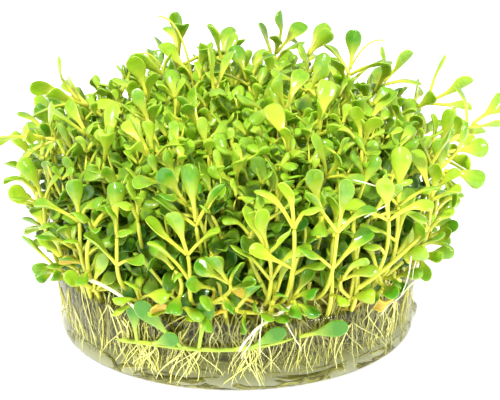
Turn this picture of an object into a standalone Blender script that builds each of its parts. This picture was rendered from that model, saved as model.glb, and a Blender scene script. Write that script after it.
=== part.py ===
"""A portion of glossostigma as it is taken from its growing cup.

A round cake of clear gel stands on its flat base. The plants root in its middle, close into
a cushion of small leaves above it, and send long-stalked shoots out all round. Metres, +Z up,
the origin at the centre of the gel's base, the front at -Y.
"""
import math
import random

import bmesh
import bpy
import numpy as np
from mathutils import Quaternion, Vector
from mathutils.bvhtree import BVHTree

MM = 0.001
UP = Vector((0, 0, 1))
GAP = 0.3 * MM

# The gel, cast in a cup that widens a little upwards.
GEL_SIDES = 36
GEL_FLAT_R = 38.6 * MM
GEL_FOOT_R = 40.3 * MM
GEL_WAIST_R = 39.3 * MM
GEL_RIM_R = 41.2 * MM
GEL_RIM_Z = 16.0 * MM
FOOT_LOW_Z = 0.9 * MM
FOOT_HIGH_Z = 2.2 * MM
WAIST_Z = 4.2 * MM
MIDDLE_Z = 9.0 * MM
RIM_ROUNDING = 1.0 * MM
RIM_DROP = 0.6 * MM
# How often the rim rises and falls round the cake, by how many millimetres, and its phase.
RIM_WAVES = ((3, 0.5, 0.6), (7, 0.3, 0.0))
HOLLOW_Z = 3.0 * MM
HOLLOW_FLOOR_R = 31.0 * MM
HOLLOW_RIM_R = 35.0 * MM
FLAP_AT = math.radians(2)
FLAP_SPREAD = math.radians(6)
FLAP_OUT = 1.4 * MM

# The felted roots and old stems that fill the gel's hollow.
MAT_SIDES = 26
MAT_TOP_Z = 18.0 * MM
MAT_RIDGE = 1.1 * MM
MAT_INSET = 0.8 * MM
MAT_FOOT_ROUNDING = (1.0 * MM, 1.2 * MM)
MAT_SHOULDER = (0.4 * MM, 0.8 * MM)
MAT_CROWN = 2.4 * MM

# The cushion of small leaves over the gel: an egg-like form, cut flat below. Nearly half of
# its faces stand out as pointed scales, as the leaves do that crowd there.
CUSHION_SIDES = 28
CUSHION_ROWS = 11
CUSHION_MID_Z = 30 * MM
CUSHION_R = 42.0 * MM
CUSHION_RISE = 23 * MM
CUSHION_DROP = 30 * MM
CUSHION_POWER = 2.4
CUSHION_CROWN = math.radians(72)
CUSHION_HOLLOWS = 0.9 * MM
CUSHION_UNEVEN = 0.12
CUSHION_SEED = 3
SCALE_SHARE = 0.75
SCALE_HIGH = 3.2 * MM
SCALE_LEAST = 0.6
SCALE_LOW = 0.5 * MM
SCALE_POINT = 0.4
SCALE_FOOT = 0.9
SCALE_TWIST = math.radians(16)

# One shoot: a square stem, spoon leaves in pairs at its nodes and one leaf at its end.
STEM_HALF = 0.5 * MM
NODE_HALF = 0.55 * MM
FOOT_FEELERS = (-1.5, -0.75, 0, 0.75, 1.5)
BLADE_HALF_THICK = 0.32 * MM
KEEL = 0.5
LEAF_STEPS = 24
BEND_EASE = 1.6
BLADE_OUTLINE = ((0.06, 0.38), (0.46, 1.0), (0.87, 0.84))
BLADE_TIP_WIDTH = 0.2
LINE_STEPS = 40
STEM_FROM_Z = 20.3 * MM
SHORTEST_STEM = 1.6 * MM
ROOT_INWARD = 0.62
STEM_SWAY = 0.3
UPRIGHT_SHARE = 0.35
LEANING_SHARE = 0.4
# A low shoot that doesn't lean far rises from the gel's rim and stands before the cushion.
RIM_SHOOT_Z = 42 * MM
RIM_ROOT_R = 36.0 * MM
RIM_KNEE_R = 47.5 * MM
RIM_KNEE_Z = 21.5 * MM
RIM_LEANING = 5.0 * MM
RIM_MOST_LEAN = math.radians(32)
RIM_FOOT_STEPS = 5
LEAF_SPAN = 0.98
# The ranges from which an end leaf and a side leaf are drawn: sizes in millimetres, and
# angles in degrees.
END_STALK = (3.5, 6.5)
END_BLADE = (4.8, 6.8)
END_BEND = (5, 30)
END_HALF_WIDTH = (1.7, 2.3)
SIDE_SPREAD = (24, 60)
SIDE_BEND = (0, 55)
SIDE_STALK = (3.2, 6.8)
SIDE_BLADE = (4.2, 6.2)
SIDE_HALF_WIDTH = (1.5, 2.2)

# Room between the shoots. Balls fill each stem and leaf, and stay this far from others.
CLEARANCE = 0.6 * MM
OFF_CUSHION = 1.04
OFF_STEM = 1.02
OFF_GEL_Z = GEL_RIM_Z + 3 * MM
# How far out the leaves reach at each height, in millimetres.
SKIRT = ((18, 44.8), (25, 47), (30, 49), (36, 52.5), (42, 60), (48, 70))
FOOT_STEPS = 4
STEM_BALL = 0.75 * MM
ABREAST = (-0.55, 0, 0.55)
LEAF_BALL = 0.45
BARE_FOOT_STEPS = 2
LOW_STALK_STEPS = 4
STALK_STEPS = 8
LARGEST_BALL = 4 * MM
SHOOT_TRIES = 240
SHOOT_STRAY = 3.5 * MM
LEAN_STRAY = 0.15
SIDE_LEAVES = 4
LEAF_TRIES = 30
LEAF_STRAY = 0.5
MOST_PAIRS = 2
PAIR_SPACING = 5.0 * MM
RING_SPACING = 6.0 * MM
PAIR_TURN = (0.25, 0.5)
SEED = 8

# The long shoots that make the outline, and those that stand before the cushion: where the
# end leaf's tip comes, in millimetres from the origin, and how far it leans, in degrees.
LONG_SHOOTS = (
    (-45, 0, 56, 62),
    (-54, -10, 46, 80),
    (-26, 5, 58, 55),
    (-20, 18, 59, 45),
    (-13, 20, 67, 8),
    (-6, 12, 64, 5),
    (-1, 25, 63, 25),
    (10, 18, 66, 12),
    (20, 24, 63, 30),
    (14, 0, 62, 5),
    (26, 8, 65, 10),
    (37, 14, 58, 38),
    (54, 12, 53, 65),
    (60, 3, 51, 60),
    (54, 12, 39, 88),
    (54, -6, 42, 74),
    (51, -17, 38, 90),
    (43, -21, 45, 8),
    (-47, -8, 43, 6),
    (-37, -15, 52, 50),
    (5, -48, 43, 8),
    (-12, -46, 41, 6),
    (22, -43, 47, 5),
    (34, -30, 50, 6),
    (29, -38, 42, 8),
    (14, -46, 39, 6),
    (-34, -34, 43, 6),
    (-18, -30, 54, 12),
    (8, -22, 60, 10),
    (-3, -8, 62, 8),
)
# More stand round the gel's rim, with their tips in these ranges of radius and height in
# millimetres and of lean in degrees.
RIM_SHOOTS = 24
RIM_TIP_R = (46.5, 49)
RIM_TIP_Z = (38, 50)
RIM_LEAN = (0, 14)
# The rest stand on a sunflower spiral over this outline: radius and height in millimetres, and
# how far they lean there in degrees.
OUTLINE = ((0, 63, 5), (20, 60, 20), (34, 53, 40), (46, 45, 50))
SPIRAL_SHOOTS = 24
ROOM_AT_TIP = 7 * MM
GOLDEN_ANGLE = math.pi * (3 - math.sqrt(5))
MOST_SHOOTS = 49

# The runner that creeps round the front of the gel.
RUNNER_FROM = math.radians(-129)
RUNNER_TO = math.radians(-72)
RUNNER_Z = 8.5 * MM
RUNNER_RISE = 3.5 * MM
RUNNER_WAVE = 0.5 * MM
RUNNER_OFF = 1.05 * MM
RUNNER_POINTS = 12
RUNNER_LEAF_SPREAD = math.radians(72)
RUNNER_LEAF_BEND = math.radians(14)
# Its leaves stand up before the gel. For each: the point of its node, how far it slants
# towards the runner's end in degrees, and its stalk, blade and half width in millimetres.
RUNNER_LEAVES = (
    (2, 4, 5.0, 4.6, 1.6),
    (3, 66, 2.6, 5.6, 1.7),
    (5, -38, 7.5, 6.6, 2.2),
    (6, 12, 7.0, 5.8, 1.9),
    (9, 62, 3.0, 6.0, 1.8),
)
RUNNER_END_LEAF = (4.0, 6.5, 2.0)
RUNNER_END_BEND = math.radians(-14)

GEL_COLOUR = (0.72, 0.74, 0.52, 1)
ROOT_COLOUR = (0.42, 0.42, 0.14, 1)
CUSHION_COLOUR = (0.16, 0.38, 0.05, 1)
SHOOT_COLOUR = (0.42, 0.66, 0.06, 1)


def material(name, colour, roughness):
    made = bpy.data.materials.new(name)
    made.use_nodes = True
    shader = made.node_tree.nodes["Principled BSDF"]
    shader.inputs["Base Color"].default_value = colour
    shader.inputs["Roughness"].default_value = roughness
    shader.inputs["Metallic"].default_value = 0
    return made


def object_from(name, bm, finish):
    bmesh.ops.recalc_face_normals(bm, faces=bm.faces)
    mesh = bpy.data.meshes.new(name)
    bm.to_mesh(mesh)
    bm.free()
    mesh.materials.append(finish)
    made = bpy.data.objects.new(name, mesh)
    bpy.context.scene.collection.objects.link(made)
    return made


def bridge(bm, low, high):
    """Faces between two rings of as many corners, in the same order."""
    faces = []
    for k in range(len(low)):
        after = (k + 1) % len(low)
        faces.append(bm.faces.new((low[k], low[after], high[after], high[k])))
    return faces


def on_circle(radius, angle, z):
    return Vector((radius * math.cos(angle), radius * math.sin(angle), z))


def turned(name, sides, rows, finish):
    """A closed solid from rows that give radius and height at an angle, bottom first."""
    bm = bmesh.new()
    rings = []
    for row in rows:
        ring = []
        for k in range(sides):
            angle = 2 * math.pi * k / sides
            radius, z = row(angle, k)
            ring.append(bm.verts.new(on_circle(radius, angle, z)))
        rings.append(ring)
    for low, high in zip(rings, rings[1:]):
        bridge(bm, low, high)
    bm.faces.new(reversed(rings[0]))
    bm.faces.new(rings[-1])
    return object_from(name, bm, finish)


def gel_wall_r(z):
    """The gel's outer radius above its foot."""
    return GEL_WAIST_R + (GEL_RIM_R - GEL_WAIST_R) * z / GEL_RIM_Z


def make_gel(finish):
    def flap(angle):
        off = (angle - FLAP_AT + math.pi) % (2 * math.pi) - math.pi
        return FLAP_OUT * math.exp(-((off / FLAP_SPREAD) ** 2))

    def rim_wave(angle):
        return MM * sum(high * math.sin(often * angle + phase) for often, high, phase in RIM_WAVES)

    rows = (
        lambda angle, k: (GEL_FLAT_R, 0),
        lambda angle, k: (GEL_FOOT_R + flap(angle), FOOT_LOW_Z),
        lambda angle, k: (GEL_FOOT_R + flap(angle), FOOT_HIGH_Z),
        lambda angle, k: (GEL_WAIST_R, WAIST_Z),
        lambda angle, k: (gel_wall_r(MIDDLE_Z), MIDDLE_Z),
        lambda angle, k: (GEL_RIM_R, GEL_RIM_Z - RIM_DROP + rim_wave(angle)),
        lambda angle, k: (GEL_RIM_R - RIM_ROUNDING, GEL_RIM_Z + rim_wave(angle)),
        lambda angle, k: (HOLLOW_RIM_R, GEL_RIM_Z - RIM_ROUNDING),
        lambda angle, k: (HOLLOW_FLOOR_R, HOLLOW_Z),
    )
    return turned("gel", GEL_SIDES, rows, finish)


def make_root_mat(finish):
    """Its side follows the hollow's, less an inset and a ridge for each second corner."""

    def side(radius, z):
        return lambda angle, k: (radius - MAT_INSET - (MAT_RIDGE if k % 2 else 0), z)

    rows = (
        side(HOLLOW_FLOOR_R - MAT_FOOT_ROUNDING[0], HOLLOW_Z + GAP),
        side(HOLLOW_FLOOR_R, HOLLOW_Z + MAT_FOOT_ROUNDING[1]),
        side(HOLLOW_RIM_R, GEL_RIM_Z - RIM_ROUNDING),
        side(HOLLOW_RIM_R - MAT_SHOULDER[0], MAT_TOP_Z - MAT_SHOULDER[1]),
        side(HOLLOW_RIM_R - MAT_CROWN, MAT_TOP_Z),
    )
    return turned("root_mat", MAT_SIDES, rows, finish)


def cushion_reach(z):
    """How far a height lies from the cushion's widest level: 1 at its top and its bottom."""
    return (z - CUSHION_MID_Z) / (CUSHION_RISE if z > CUSHION_MID_Z else CUSHION_DROP)


def cushion_r(z):
    return CUSHION_R * (1 - abs(cushion_reach(z)) ** CUSHION_POWER) ** (1 / CUSHION_POWER)


def beyond_cushion(point):
    """Below 1 inside the cushion's form, 1 on it and more outside."""
    across = math.hypot(point.x, point.y) / CUSHION_R
    along = abs(cushion_reach(point.z))
    return (across**CUSHION_POWER + along**CUSHION_POWER) ** (1 / CUSHION_POWER)


def make_cushion(finish):
    """Uneven rings inside the form by a scale's height, then scales grown out to it."""
    draw = random.Random(CUSHION_SEED)
    bm = bmesh.new()
    low_z = MAT_TOP_Z + GAP
    start = math.asin(cushion_reach(low_z))
    rings = []
    for row in range(CUSHION_ROWS):
        rise = start + (CUSHION_CROWN - start) * row / (CUSHION_ROWS - 1)
        z = low_z
        if row > 0:
            z = CUSHION_MID_Z + (CUSHION_RISE if rise > 0 else CUSHION_DROP) * math.sin(rise)
        inner_z = z - SCALE_HIGH * max(0, math.sin(rise))
        ring = []
        for k in range(CUSHION_SIDES):
            radius = cushion_r(z) - SCALE_HIGH - draw.uniform(0, CUSHION_HOLLOWS)
            off = draw.uniform(-CUSHION_UNEVEN, CUSHION_UNEVEN)
            angle = 2 * math.pi * (k + off) / CUSHION_SIDES
            ring.append(bm.verts.new(on_circle(radius, angle, inner_z)))
        rings.append(ring)
    rows = [bridge(bm, low, high) for low, high in zip(rings, rings[1:])]
    bm.faces.new(reversed(rings[0]))
    crown = bm.verts.new((0, 0, CUSHION_MID_Z + CUSHION_RISE - SCALE_HIGH))
    for k in range(CUSHION_SIDES):
        bm.faces.new((rings[-1][k], rings[-1][(k + 1) % CUSHION_SIDES], crown))
    bm.normal_update()
    every_second = [face for row, faces in enumerate(rows[1:]) for face in faces[row % 2 :: 2]]
    scales = [face for face in every_second if draw.random() < SCALE_SHARE]
    for face in bmesh.ops.extrude_discrete_faces(bm, faces=scales)["faces"]:
        raise_scale(face, draw)
    return object_from("leaf_cushion", bm, finish)


def raise_scale(face, draw):
    """Tilts a face out of the cushion, its upper edge drawn in like a leaf's tip."""
    normal, centre = face.normal.copy(), face.calc_center_median()
    upward = (UP - normal * normal.dot(UP)).normalized()
    sideways = normal.cross(upward)
    twist = Quaternion(normal, draw.uniform(-SCALE_TWIST, SCALE_TWIST))
    high = SCALE_HIGH * draw.uniform(SCALE_LEAST, 1.0)
    for corner in face.verts:
        along = (corner.co - centre).dot(upward)
        across = (corner.co - centre).dot(sideways) * (SCALE_POINT if along > 0 else SCALE_FOOT)
        place = twist @ (upward * along + sideways * across)
        corner.co = centre + place + normal * (high if along > 0 else SCALE_LOW)


class Leaf:
    """A spoon leaf: a stalk and blade that leave the stem at a spread and then bend."""

    def __init__(self, start, along, side, spread, bend, stalk, blade, half_width):
        self.start = start
        self.side = side
        self.across = along.cross(side)
        self.length = stalk + blade
        self.half_width = half_width
        blade_from = stalk / self.length
        self.stations = [(blade_from + (1 - blade_from) * s, half_width * w) for s, w in BLADE_OUTLINE]
        self.frames = []
        centre = start.copy()
        for step in range(LEAF_STEPS + 1):
            angle = spread + bend * (step / LEAF_STEPS) ** BEND_EASE
            ahead = math.cos(angle) * along + math.sin(angle) * side
            upper = math.sin(angle) * along - math.cos(angle) * side
            self.frames.append((centre.copy(), upper))
            centre += ahead * self.length / LEAF_STEPS

    def balls(self, first_step):
        """Balls that fill the leaf, three abreast."""
        tip = (1.0, self.half_width * BLADE_TIP_WIDTH)
        shares, halves = zip((0.0, STEM_HALF), *self.stations, tip)
        found = []
        for step in range(first_step, LEAF_STEPS + 1, 2):
            centre, _ = self.frames[step]
            half = np.interp(step / LEAF_STEPS, shares, halves)
            for offset in ABREAST:
                found.append((*(centre + self.across * half * offset), LEAF_BALL * half))
        return np.array(found)


class Shoot:
    """A stem's line from the roots to its end, where it leaves the cushion, and its leaves."""

    def __init__(self, line, start, end_leaf):
        self.line = line
        self.start = start
        self.end_leaf = end_leaf
        self.leaves = {}

    def balls(self):
        stem = [(*point, STEM_BALL) for point in self.line[max(0, self.start - FOOT_STEPS) :]]
        return np.vstack([np.array(stem), self.end_leaf.balls(BARE_FOOT_STEPS)])


class Crowd:
    """The balls that fill all that has been placed."""

    def __init__(self):
        self.balls = np.empty((0, 4))

    def add(self, balls):
        self.balls = np.vstack((self.balls, balls))

    def clear_of(self, balls):
        middle = balls[:, :3].mean(axis=0)
        reach = np.abs(balls[:, :3] - middle).max() + LARGEST_BALL
        near = self.balls[(np.abs(self.balls[:, :3] - middle) < reach).all(axis=1)]
        if len(near) == 0:
            return True
        apart = np.linalg.norm(balls[:, None, :3] - near[None, :, :3], axis=2)
        return bool((apart - balls[:, None, 3] - near[None, :, 3]).min() > CLEARANCE)


def has_room(balls):
    """Whether they all lie off the cushion and the gel, and within the skirt of low leaves."""
    for x, y, z, radius in balls:
        if z < OFF_GEL_Z or beyond_cushion(Vector((x, y, z))) < OFF_CUSHION:
            return False
        if math.hypot(x, y) > MM * np.interp(z / MM, *zip(*SKIRT)):
            return False
    return True


def bezier(a, b, c, d):
    line = []
    for k in range(LINE_STEPS + 1):
        t = k / LINE_STEPS
        line.append(a * (1 - t) ** 3 + b * 3 * t * (1 - t) ** 2 + c * 3 * t * t * (1 - t) + d * t**3)
    return line


def ahead_at(line, k):
    return (line[min(k + 1, len(line) - 1)] - line[max(k - 1, 0)]).normalized()


def side_of(ahead, turn):
    """A direction square to ahead, turned about it."""
    first = ahead.cross(UP if abs(ahead.z) < 0.95 else Vector((1, 0, 0))).normalized()
    return math.cos(turn) * first + math.sin(turn) * ahead.cross(first)


def stem_line(end, way, lean):
    """The line to a stem's end, and whether it comes round the cushion or out of it."""
    leaning = end - way * RIM_LEANING
    if end.z < RIM_SHOOT_Z and lean < RIM_MOST_LEAN and beyond_cushion(leaning) > OFF_STEM:
        angle = math.atan2(end.y, end.x)
        root = on_circle(RIM_ROOT_R, angle, MAT_TOP_Z)
        return bezier(root, on_circle(RIM_KNEE_R, angle, RIM_KNEE_Z), leaning, end), True
    root = Vector((end.x * ROOT_INWARD, end.y * ROOT_INWARD, MAT_TOP_Z - MM))
    rise = (end - root).length
    return bezier(root, root + UP * UPRIGHT_SHARE * rise, end - way * LEANING_SHARE * rise, end), False


def bare_shoot(tip, lean, turn, draw):
    """A stem whose end leaf comes to tip, or None if it doesn't leave the cushion."""
    out = Vector((tip.x, tip.y, 0)).normalized()
    sway = out.cross(UP) * draw.uniform(-STEM_SWAY, STEM_SWAY)
    way = (math.sin(lean) * out + math.cos(lean) * UP + sway).normalized()
    stalk, blade = draw.uniform(*END_STALK) * MM, draw.uniform(*END_BLADE) * MM
    end = tip - way * LEAF_SPAN * (stalk + blade)
    line, round_cushion = stem_line(end, way, lean)
    bend = math.radians(draw.uniform(*END_BEND))
    half_width = draw.uniform(*END_HALF_WIDTH) * MM
    start = next((k for k in range(LINE_STEPS + 1) if beyond_cushion(line[k]) > 1.0), LINE_STEPS)
    if (end - line[start]).length < SHORTEST_STEM or line[start].z < STEM_FROM_Z:
        return None
    above_foot = line[start + RIM_FOOT_STEPS :] if round_cushion else []
    if any(beyond_cushion(point) < OFF_STEM for point in above_foot):
        return None
    ahead = ahead_at(line, LINE_STEPS)
    leaf = Leaf(end, ahead, side_of(ahead, turn), 0.0, bend, stalk, blade, half_width)
    return Shoot(line, start, leaf)


def grow_sides(shoot, crowd, turn, draw):
    """Adds the leaves of each pair that find room."""
    line, start = shoot.line, shoot.start
    last = LINE_STEPS - 1
    pairs = min(MOST_PAIRS, 1 + int((line[last] - line[start]).length / PAIR_SPACING))
    nodes = [last - k * (last - start) // pairs for k in range(pairs)]
    own = Crowd()
    own.add(shoot.end_leaf.balls(STALK_STEPS))
    for node in nodes:
        turn += draw.uniform(*PAIR_TURN) * math.pi
        for way in (turn, turn + math.pi):
            for _ in range(LEAF_TRIES):
                leaf = Leaf(
                    line[node],
                    ahead_at(line, node),
                    side_of(ahead_at(line, node), way + draw.uniform(-LEAF_STRAY, LEAF_STRAY)),
                    spread=math.radians(draw.uniform(*SIDE_SPREAD)),
                    bend=math.radians(draw.uniform(*SIDE_BEND)),
                    stalk=draw.uniform(*SIDE_STALK) * MM,
                    blade=draw.uniform(*SIDE_BLADE) * MM,
                    half_width=draw.uniform(*SIDE_HALF_WIDTH) * MM,
                )
                balls = leaf.balls(STALK_STEPS)
                whole = leaf.balls(BARE_FOOT_STEPS)
                if has_room(balls) and crowd.clear_of(whole) and own.clear_of(balls):
                    shoot.leaves.setdefault(node, []).append(leaf)
                    own.add(balls)
                    break
    return own.balls


def rim_tips(draw):
    """Places round the rim, with their lean."""
    for k in range(RIM_SHOOTS):
        radius, height = draw.uniform(*RIM_TIP_R) * MM, draw.uniform(*RIM_TIP_Z) * MM
        angle = 2 * math.pi * (k + draw.uniform(-0.3, 0.3)) / RIM_SHOOTS
        yield on_circle(radius, angle, height), math.radians(draw.uniform(*RIM_LEAN))


def spiral_tips():
    """Evenly spread places on the outline's surface, from the top down, with their lean."""
    bands = []
    whole = 0.0
    for upper, lower in zip(OUTLINE, OUTLINE[1:]):
        area = (upper[0] + lower[0]) * math.hypot(lower[0] - upper[0], lower[1] - upper[1])
        bands.append((whole, area, upper, lower))
        whole += area
    for k in range(SPIRAL_SHOOTS):
        target = whole * (k + 0.5) / SPIRAL_SHOOTS
        before, area, upper, lower = [band for band in bands if band[0] <= target][-1]
        share = (target - before) / area
        radius, height, lean = (u + (v - u) * share for u, v in zip(upper, lower))
        yield on_circle(radius * MM, k * GOLDEN_ANGLE, height * MM), math.radians(lean)


def plan_shoots():
    """Every shoot, the long ones first, each clear of the ones before it."""
    draw = random.Random(SEED)
    wanted = [(Vector((x, y, z)) * MM, math.radians(lean)) for x, y, z, lean in LONG_SHOOTS]
    for tip, lean in (*rim_tips(draw), *spiral_tips()):
        if all((tip - other).length > ROOM_AT_TIP for other, _ in wanted):
            wanted.append((tip, lean))
    shoots, crowd = [], Crowd()
    for leaves in plan_runner()[1].values():
        crowd.add(leaves[0].balls(BARE_FOOT_STEPS))
    for tip, lean in wanted:
        for attempt in range(SHOOT_TRIES):
            stray = Vector([draw.uniform(-1, 1) for _ in range(3)])
            stray *= SHOOT_STRAY * (0.1 + attempt / SHOOT_TRIES)
            turn = draw.uniform(0, math.pi)
            lean_now = lean + draw.uniform(-LEAN_STRAY, LEAN_STRAY)
            shoot = bare_shoot(tip + stray, lean_now, turn, draw)
            if not shoot or not has_room(shoot.end_leaf.balls(LOW_STALK_STEPS)):
                continue
            if not crowd.clear_of(shoot.balls()):
                continue
            sides = grow_sides(shoot, crowd, turn, draw)
            if sum(map(len, shoot.leaves.values())) >= SIDE_LEAVES - 3 * attempt // SHOOT_TRIES:
                crowd.add(shoot.balls())
                crowd.add(sides)
                shoots.append(shoot)
                break
        if len(shoots) == MOST_SHOOTS:
            break
    return shoots


def corners_at(centre, across, upper, half_across, half_upper, keel=1.0):
    """Four places in the order lower left, upper left, upper right, lower right."""
    corners = ((-keel, -1), (-1, 1), (1, 1), (keel, -1))
    return [centre + across * half_across * a + upper * half_upper * u for a, u in corners]


def ring_at(bm, *sizes):
    return [bm.verts.new(corner) for corner in corners_at(*sizes)]


def grow_leaf(bm, hole, leaf):
    """Draws a leaf out of a four-cornered hole in the stem, turned to meet it best."""
    foot, upper = leaf.frames[0]
    aims = corners_at(foot, leaf.across, upper, STEM_HALF, STEM_HALF)
    turned_holes = [[hole[(first + way * k) % 4] for k in range(4)] for first in range(4) for way in (1, -1)]
    ring = min(turned_holes, key=lambda turned: sum((v.co - aim).length for v, aim in zip(turned, aims)))
    for share, half in leaf.stations:
        centre, upper = leaf.frames[round(share * LEAF_STEPS)]
        following = ring_at(bm, centre, leaf.across, upper, half, BLADE_HALF_THICK, KEEL)
        bridge(bm, ring, following)
        ring = following
    tip = bm.verts.new(leaf.frames[-1][0])
    for k in range(4):
        bm.faces.new((ring[k], ring[(k + 1) % 4], tip))


def stem_rings(bm, line, picks, across):
    """Square rings at the picked points and shifts, their sides carried along without twist."""
    rings = []
    for k, shift in picks:
        ahead = ahead_at(line, k)
        across = (across - ahead * across.dot(ahead)).normalized()
        centre = line[k] + ahead * shift
        rings.append(ring_at(bm, centre, across, ahead.cross(across), STEM_HALF, STEM_HALF))
    return rings


def grow_stem(bm, line, picks, leaves, across):
    """A closed foot, the stem's sides, and a leaf out of the sides that face one."""
    rings = stem_rings(bm, line, picks, across)
    bm.faces.new(reversed(rings[0]))
    for (at, _), low, (after_at, _), high in zip(picks, rings, picks[1:], rings[1:]):
        sides = {k: (low[k], low[(k + 1) % 4], high[(k + 1) % 4], high[k]) for k in range(4)}
        for leaf in leaves.get(at, ()) if at == after_at else ():
            aim = leaf.start + leaf.side * STEM_HALF
            side = min(sides, key=lambda k: (sum((v.co for v in sides[k]), Vector()) / 4 - aim).length)
            grow_leaf(bm, sides.pop(side), leaf)
        for corners in sides.values():
            bm.faces.new(corners)
    return rings[-1]


def foot_shift(line, start, across, cushion_tree):
    """How far along the stem its foot is moved to stand a gap above the cushion."""
    ahead = ahead_at(line, start)
    across = (across - ahead * across.dot(ahead)).normalized()
    lift = SCALE_HIGH
    nearest = math.inf
    for a in FOOT_FEELERS:
        for u in FOOT_FEELERS:
            feeler = line[start] + (across * a + ahead.cross(across) * u) * STEM_HALF
            found = cushion_tree.ray_cast(feeler + ahead * lift, -ahead)
            nearest = min(nearest, found[3] if found[0] else lift)
    return lift - nearest + GAP


def rings_between(line, low, high):
    """Rings that let a stem's bare length follow its bend."""
    bare = (line[high] - line[low]).length
    count = int(bare / RING_SPACING)
    return [(low + (high - low) * k // (count + 1), 0) for k in range(1, count + 1)]


def make_shoot(name, shoot, cushion_tree, finish):
    line, start = shoot.line, shoot.start
    across = shoot.end_leaf.side
    nodes = sorted(shoot.leaves)
    picks = [(start, foot_shift(line, start, across, cushion_tree))]
    for node in nodes:
        picks += rings_between(line, picks[-1][0], node)
        picks += [(node, -NODE_HALF), (node, NODE_HALF)]
    if nodes[-1] < LINE_STEPS - 1:
        picks.append((LINE_STEPS, 0))
    bm = bmesh.new()
    end = grow_stem(bm, line, picks, shoot.leaves, across)
    grow_leaf(bm, end, shoot.end_leaf)
    return object_from(name, bm, finish)


def plan_runner():
    """The creeping stem's line along the gel's wall, and a leaf at each node and its end."""
    line = []
    for k in range(RUNNER_POINTS + 1):
        share = k / RUNNER_POINTS
        z = RUNNER_Z + RUNNER_RISE * share + RUNNER_WAVE * math.sin(7 * share)
        angle = RUNNER_FROM + (RUNNER_TO - RUNNER_FROM) * share
        line.append(on_circle(gel_wall_r(z) + RUNNER_OFF, angle, z))
    leaves = {}
    for k, slant, stalk, blade, half_width in RUNNER_LEAVES:
        out = Vector((line[k].x, line[k].y, 0)).normalized()
        slant = math.radians(slant)
        side = math.cos(slant) * UP + math.sin(slant) * ahead_at(line, k)
        side = (side - out * side.dot(out)).normalized()
        sizes = (stalk * MM, blade * MM, half_width * MM)
        leaves[k] = [Leaf(line[k], out, side, RUNNER_LEAF_SPREAD, RUNNER_LEAF_BEND, *sizes)]
    out = Vector((line[-1].x, line[-1].y, 0)).normalized()
    sizes = [size * MM for size in RUNNER_END_LEAF]
    end_leaf = Leaf(line[-1], ahead_at(line, RUNNER_POINTS), -out, 0, RUNNER_END_BEND, *sizes)
    return line, leaves, end_leaf


def make_runner(finish):
    line, leaves, end_leaf = plan_runner()
    picks = []
    for k in range(RUNNER_POINTS + 1):
        picks += [(k, -NODE_HALF), (k, NODE_HALF)] if k in leaves else [(k, 0)]
    bm = bmesh.new()
    across = Vector((line[0].x, line[0].y, 0)).normalized()
    grow_leaf(bm, grow_stem(bm, line, picks, leaves, across), end_leaf)
    return object_from("runner", bm, finish)


def main():
    for thing in list(bpy.data.objects):
        bpy.data.objects.remove(thing)
    gel = material("gel", GEL_COLOUR, 0.1)
    root = material("root", ROOT_COLOUR, 0.7)
    cushion_leaf = material("cushion_leaf", CUSHION_COLOUR, 0.4)
    shoot_leaf = material("shoot_leaf", SHOOT_COLOUR, 0.35)
    make_gel(gel)
    make_root_mat(root)
    cushion = make_cushion(cushion_leaf)
    bpy.context.view_layer.update()
    tree = BVHTree.FromObject(cushion, bpy.context.evaluated_depsgraph_get())
    for number, shoot in enumerate(plan_shoots(), 1):
        make_shoot(f"shoot_{number:02d}", shoot, tree, shoot_leaf)
    make_runner(shoot_leaf)


main()
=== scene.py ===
"""The looks of a portion of glossostigma: leaves, stems, roots and the clear gel they grow on.

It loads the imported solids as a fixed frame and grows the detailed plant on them. Metres,
+Z up, the origin at the centre of the gel's base, the front at -Y.
"""
import math
import random

import bpy
import numpy as np
from bpy.props import FloatProperty, FloatVectorProperty, IntProperty, PointerProperty
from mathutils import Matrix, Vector


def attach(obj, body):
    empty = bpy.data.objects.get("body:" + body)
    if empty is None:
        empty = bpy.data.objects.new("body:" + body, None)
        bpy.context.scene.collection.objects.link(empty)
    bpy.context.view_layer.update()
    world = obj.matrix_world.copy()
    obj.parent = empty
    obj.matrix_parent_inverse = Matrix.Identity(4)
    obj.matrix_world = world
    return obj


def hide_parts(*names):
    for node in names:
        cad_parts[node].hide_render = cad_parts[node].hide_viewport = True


bl_info = {
    "name": "Glossostigma portion",
    "version": (1, 0, 0),
    "blender": (4, 5, 0),
    "location": "3D View > Sidebar > Glossostigma",
    "description": "Grows a portion of glossostigma on its cake of nutrient gel",
    "category": "Add Mesh",
}

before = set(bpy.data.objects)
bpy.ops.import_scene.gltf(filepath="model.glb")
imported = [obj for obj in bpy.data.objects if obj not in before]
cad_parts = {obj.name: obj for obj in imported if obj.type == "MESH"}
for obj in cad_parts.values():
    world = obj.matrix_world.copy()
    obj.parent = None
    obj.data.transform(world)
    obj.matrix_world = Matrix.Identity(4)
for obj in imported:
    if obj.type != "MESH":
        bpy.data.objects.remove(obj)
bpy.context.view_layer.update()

MM = 0.001
UP = Vector((0, 0, 1))

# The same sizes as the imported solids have, so that each leaf grows where its solid lies.
GEL_FLAT_R = 38.6 * MM
GEL_FOOT_R = 40.3 * MM
GEL_WAIST_R = 39.3 * MM
GEL_RIM_R = 41.2 * MM
GEL_RIM_Z = 16.0 * MM
FOOT_LOW_Z = 0.9 * MM
FOOT_HIGH_Z = 2.2 * MM
WAIST_Z = 4.2 * MM
RIM_ROUNDING = 1.0 * MM
RIM_DROP = 0.6 * MM
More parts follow.
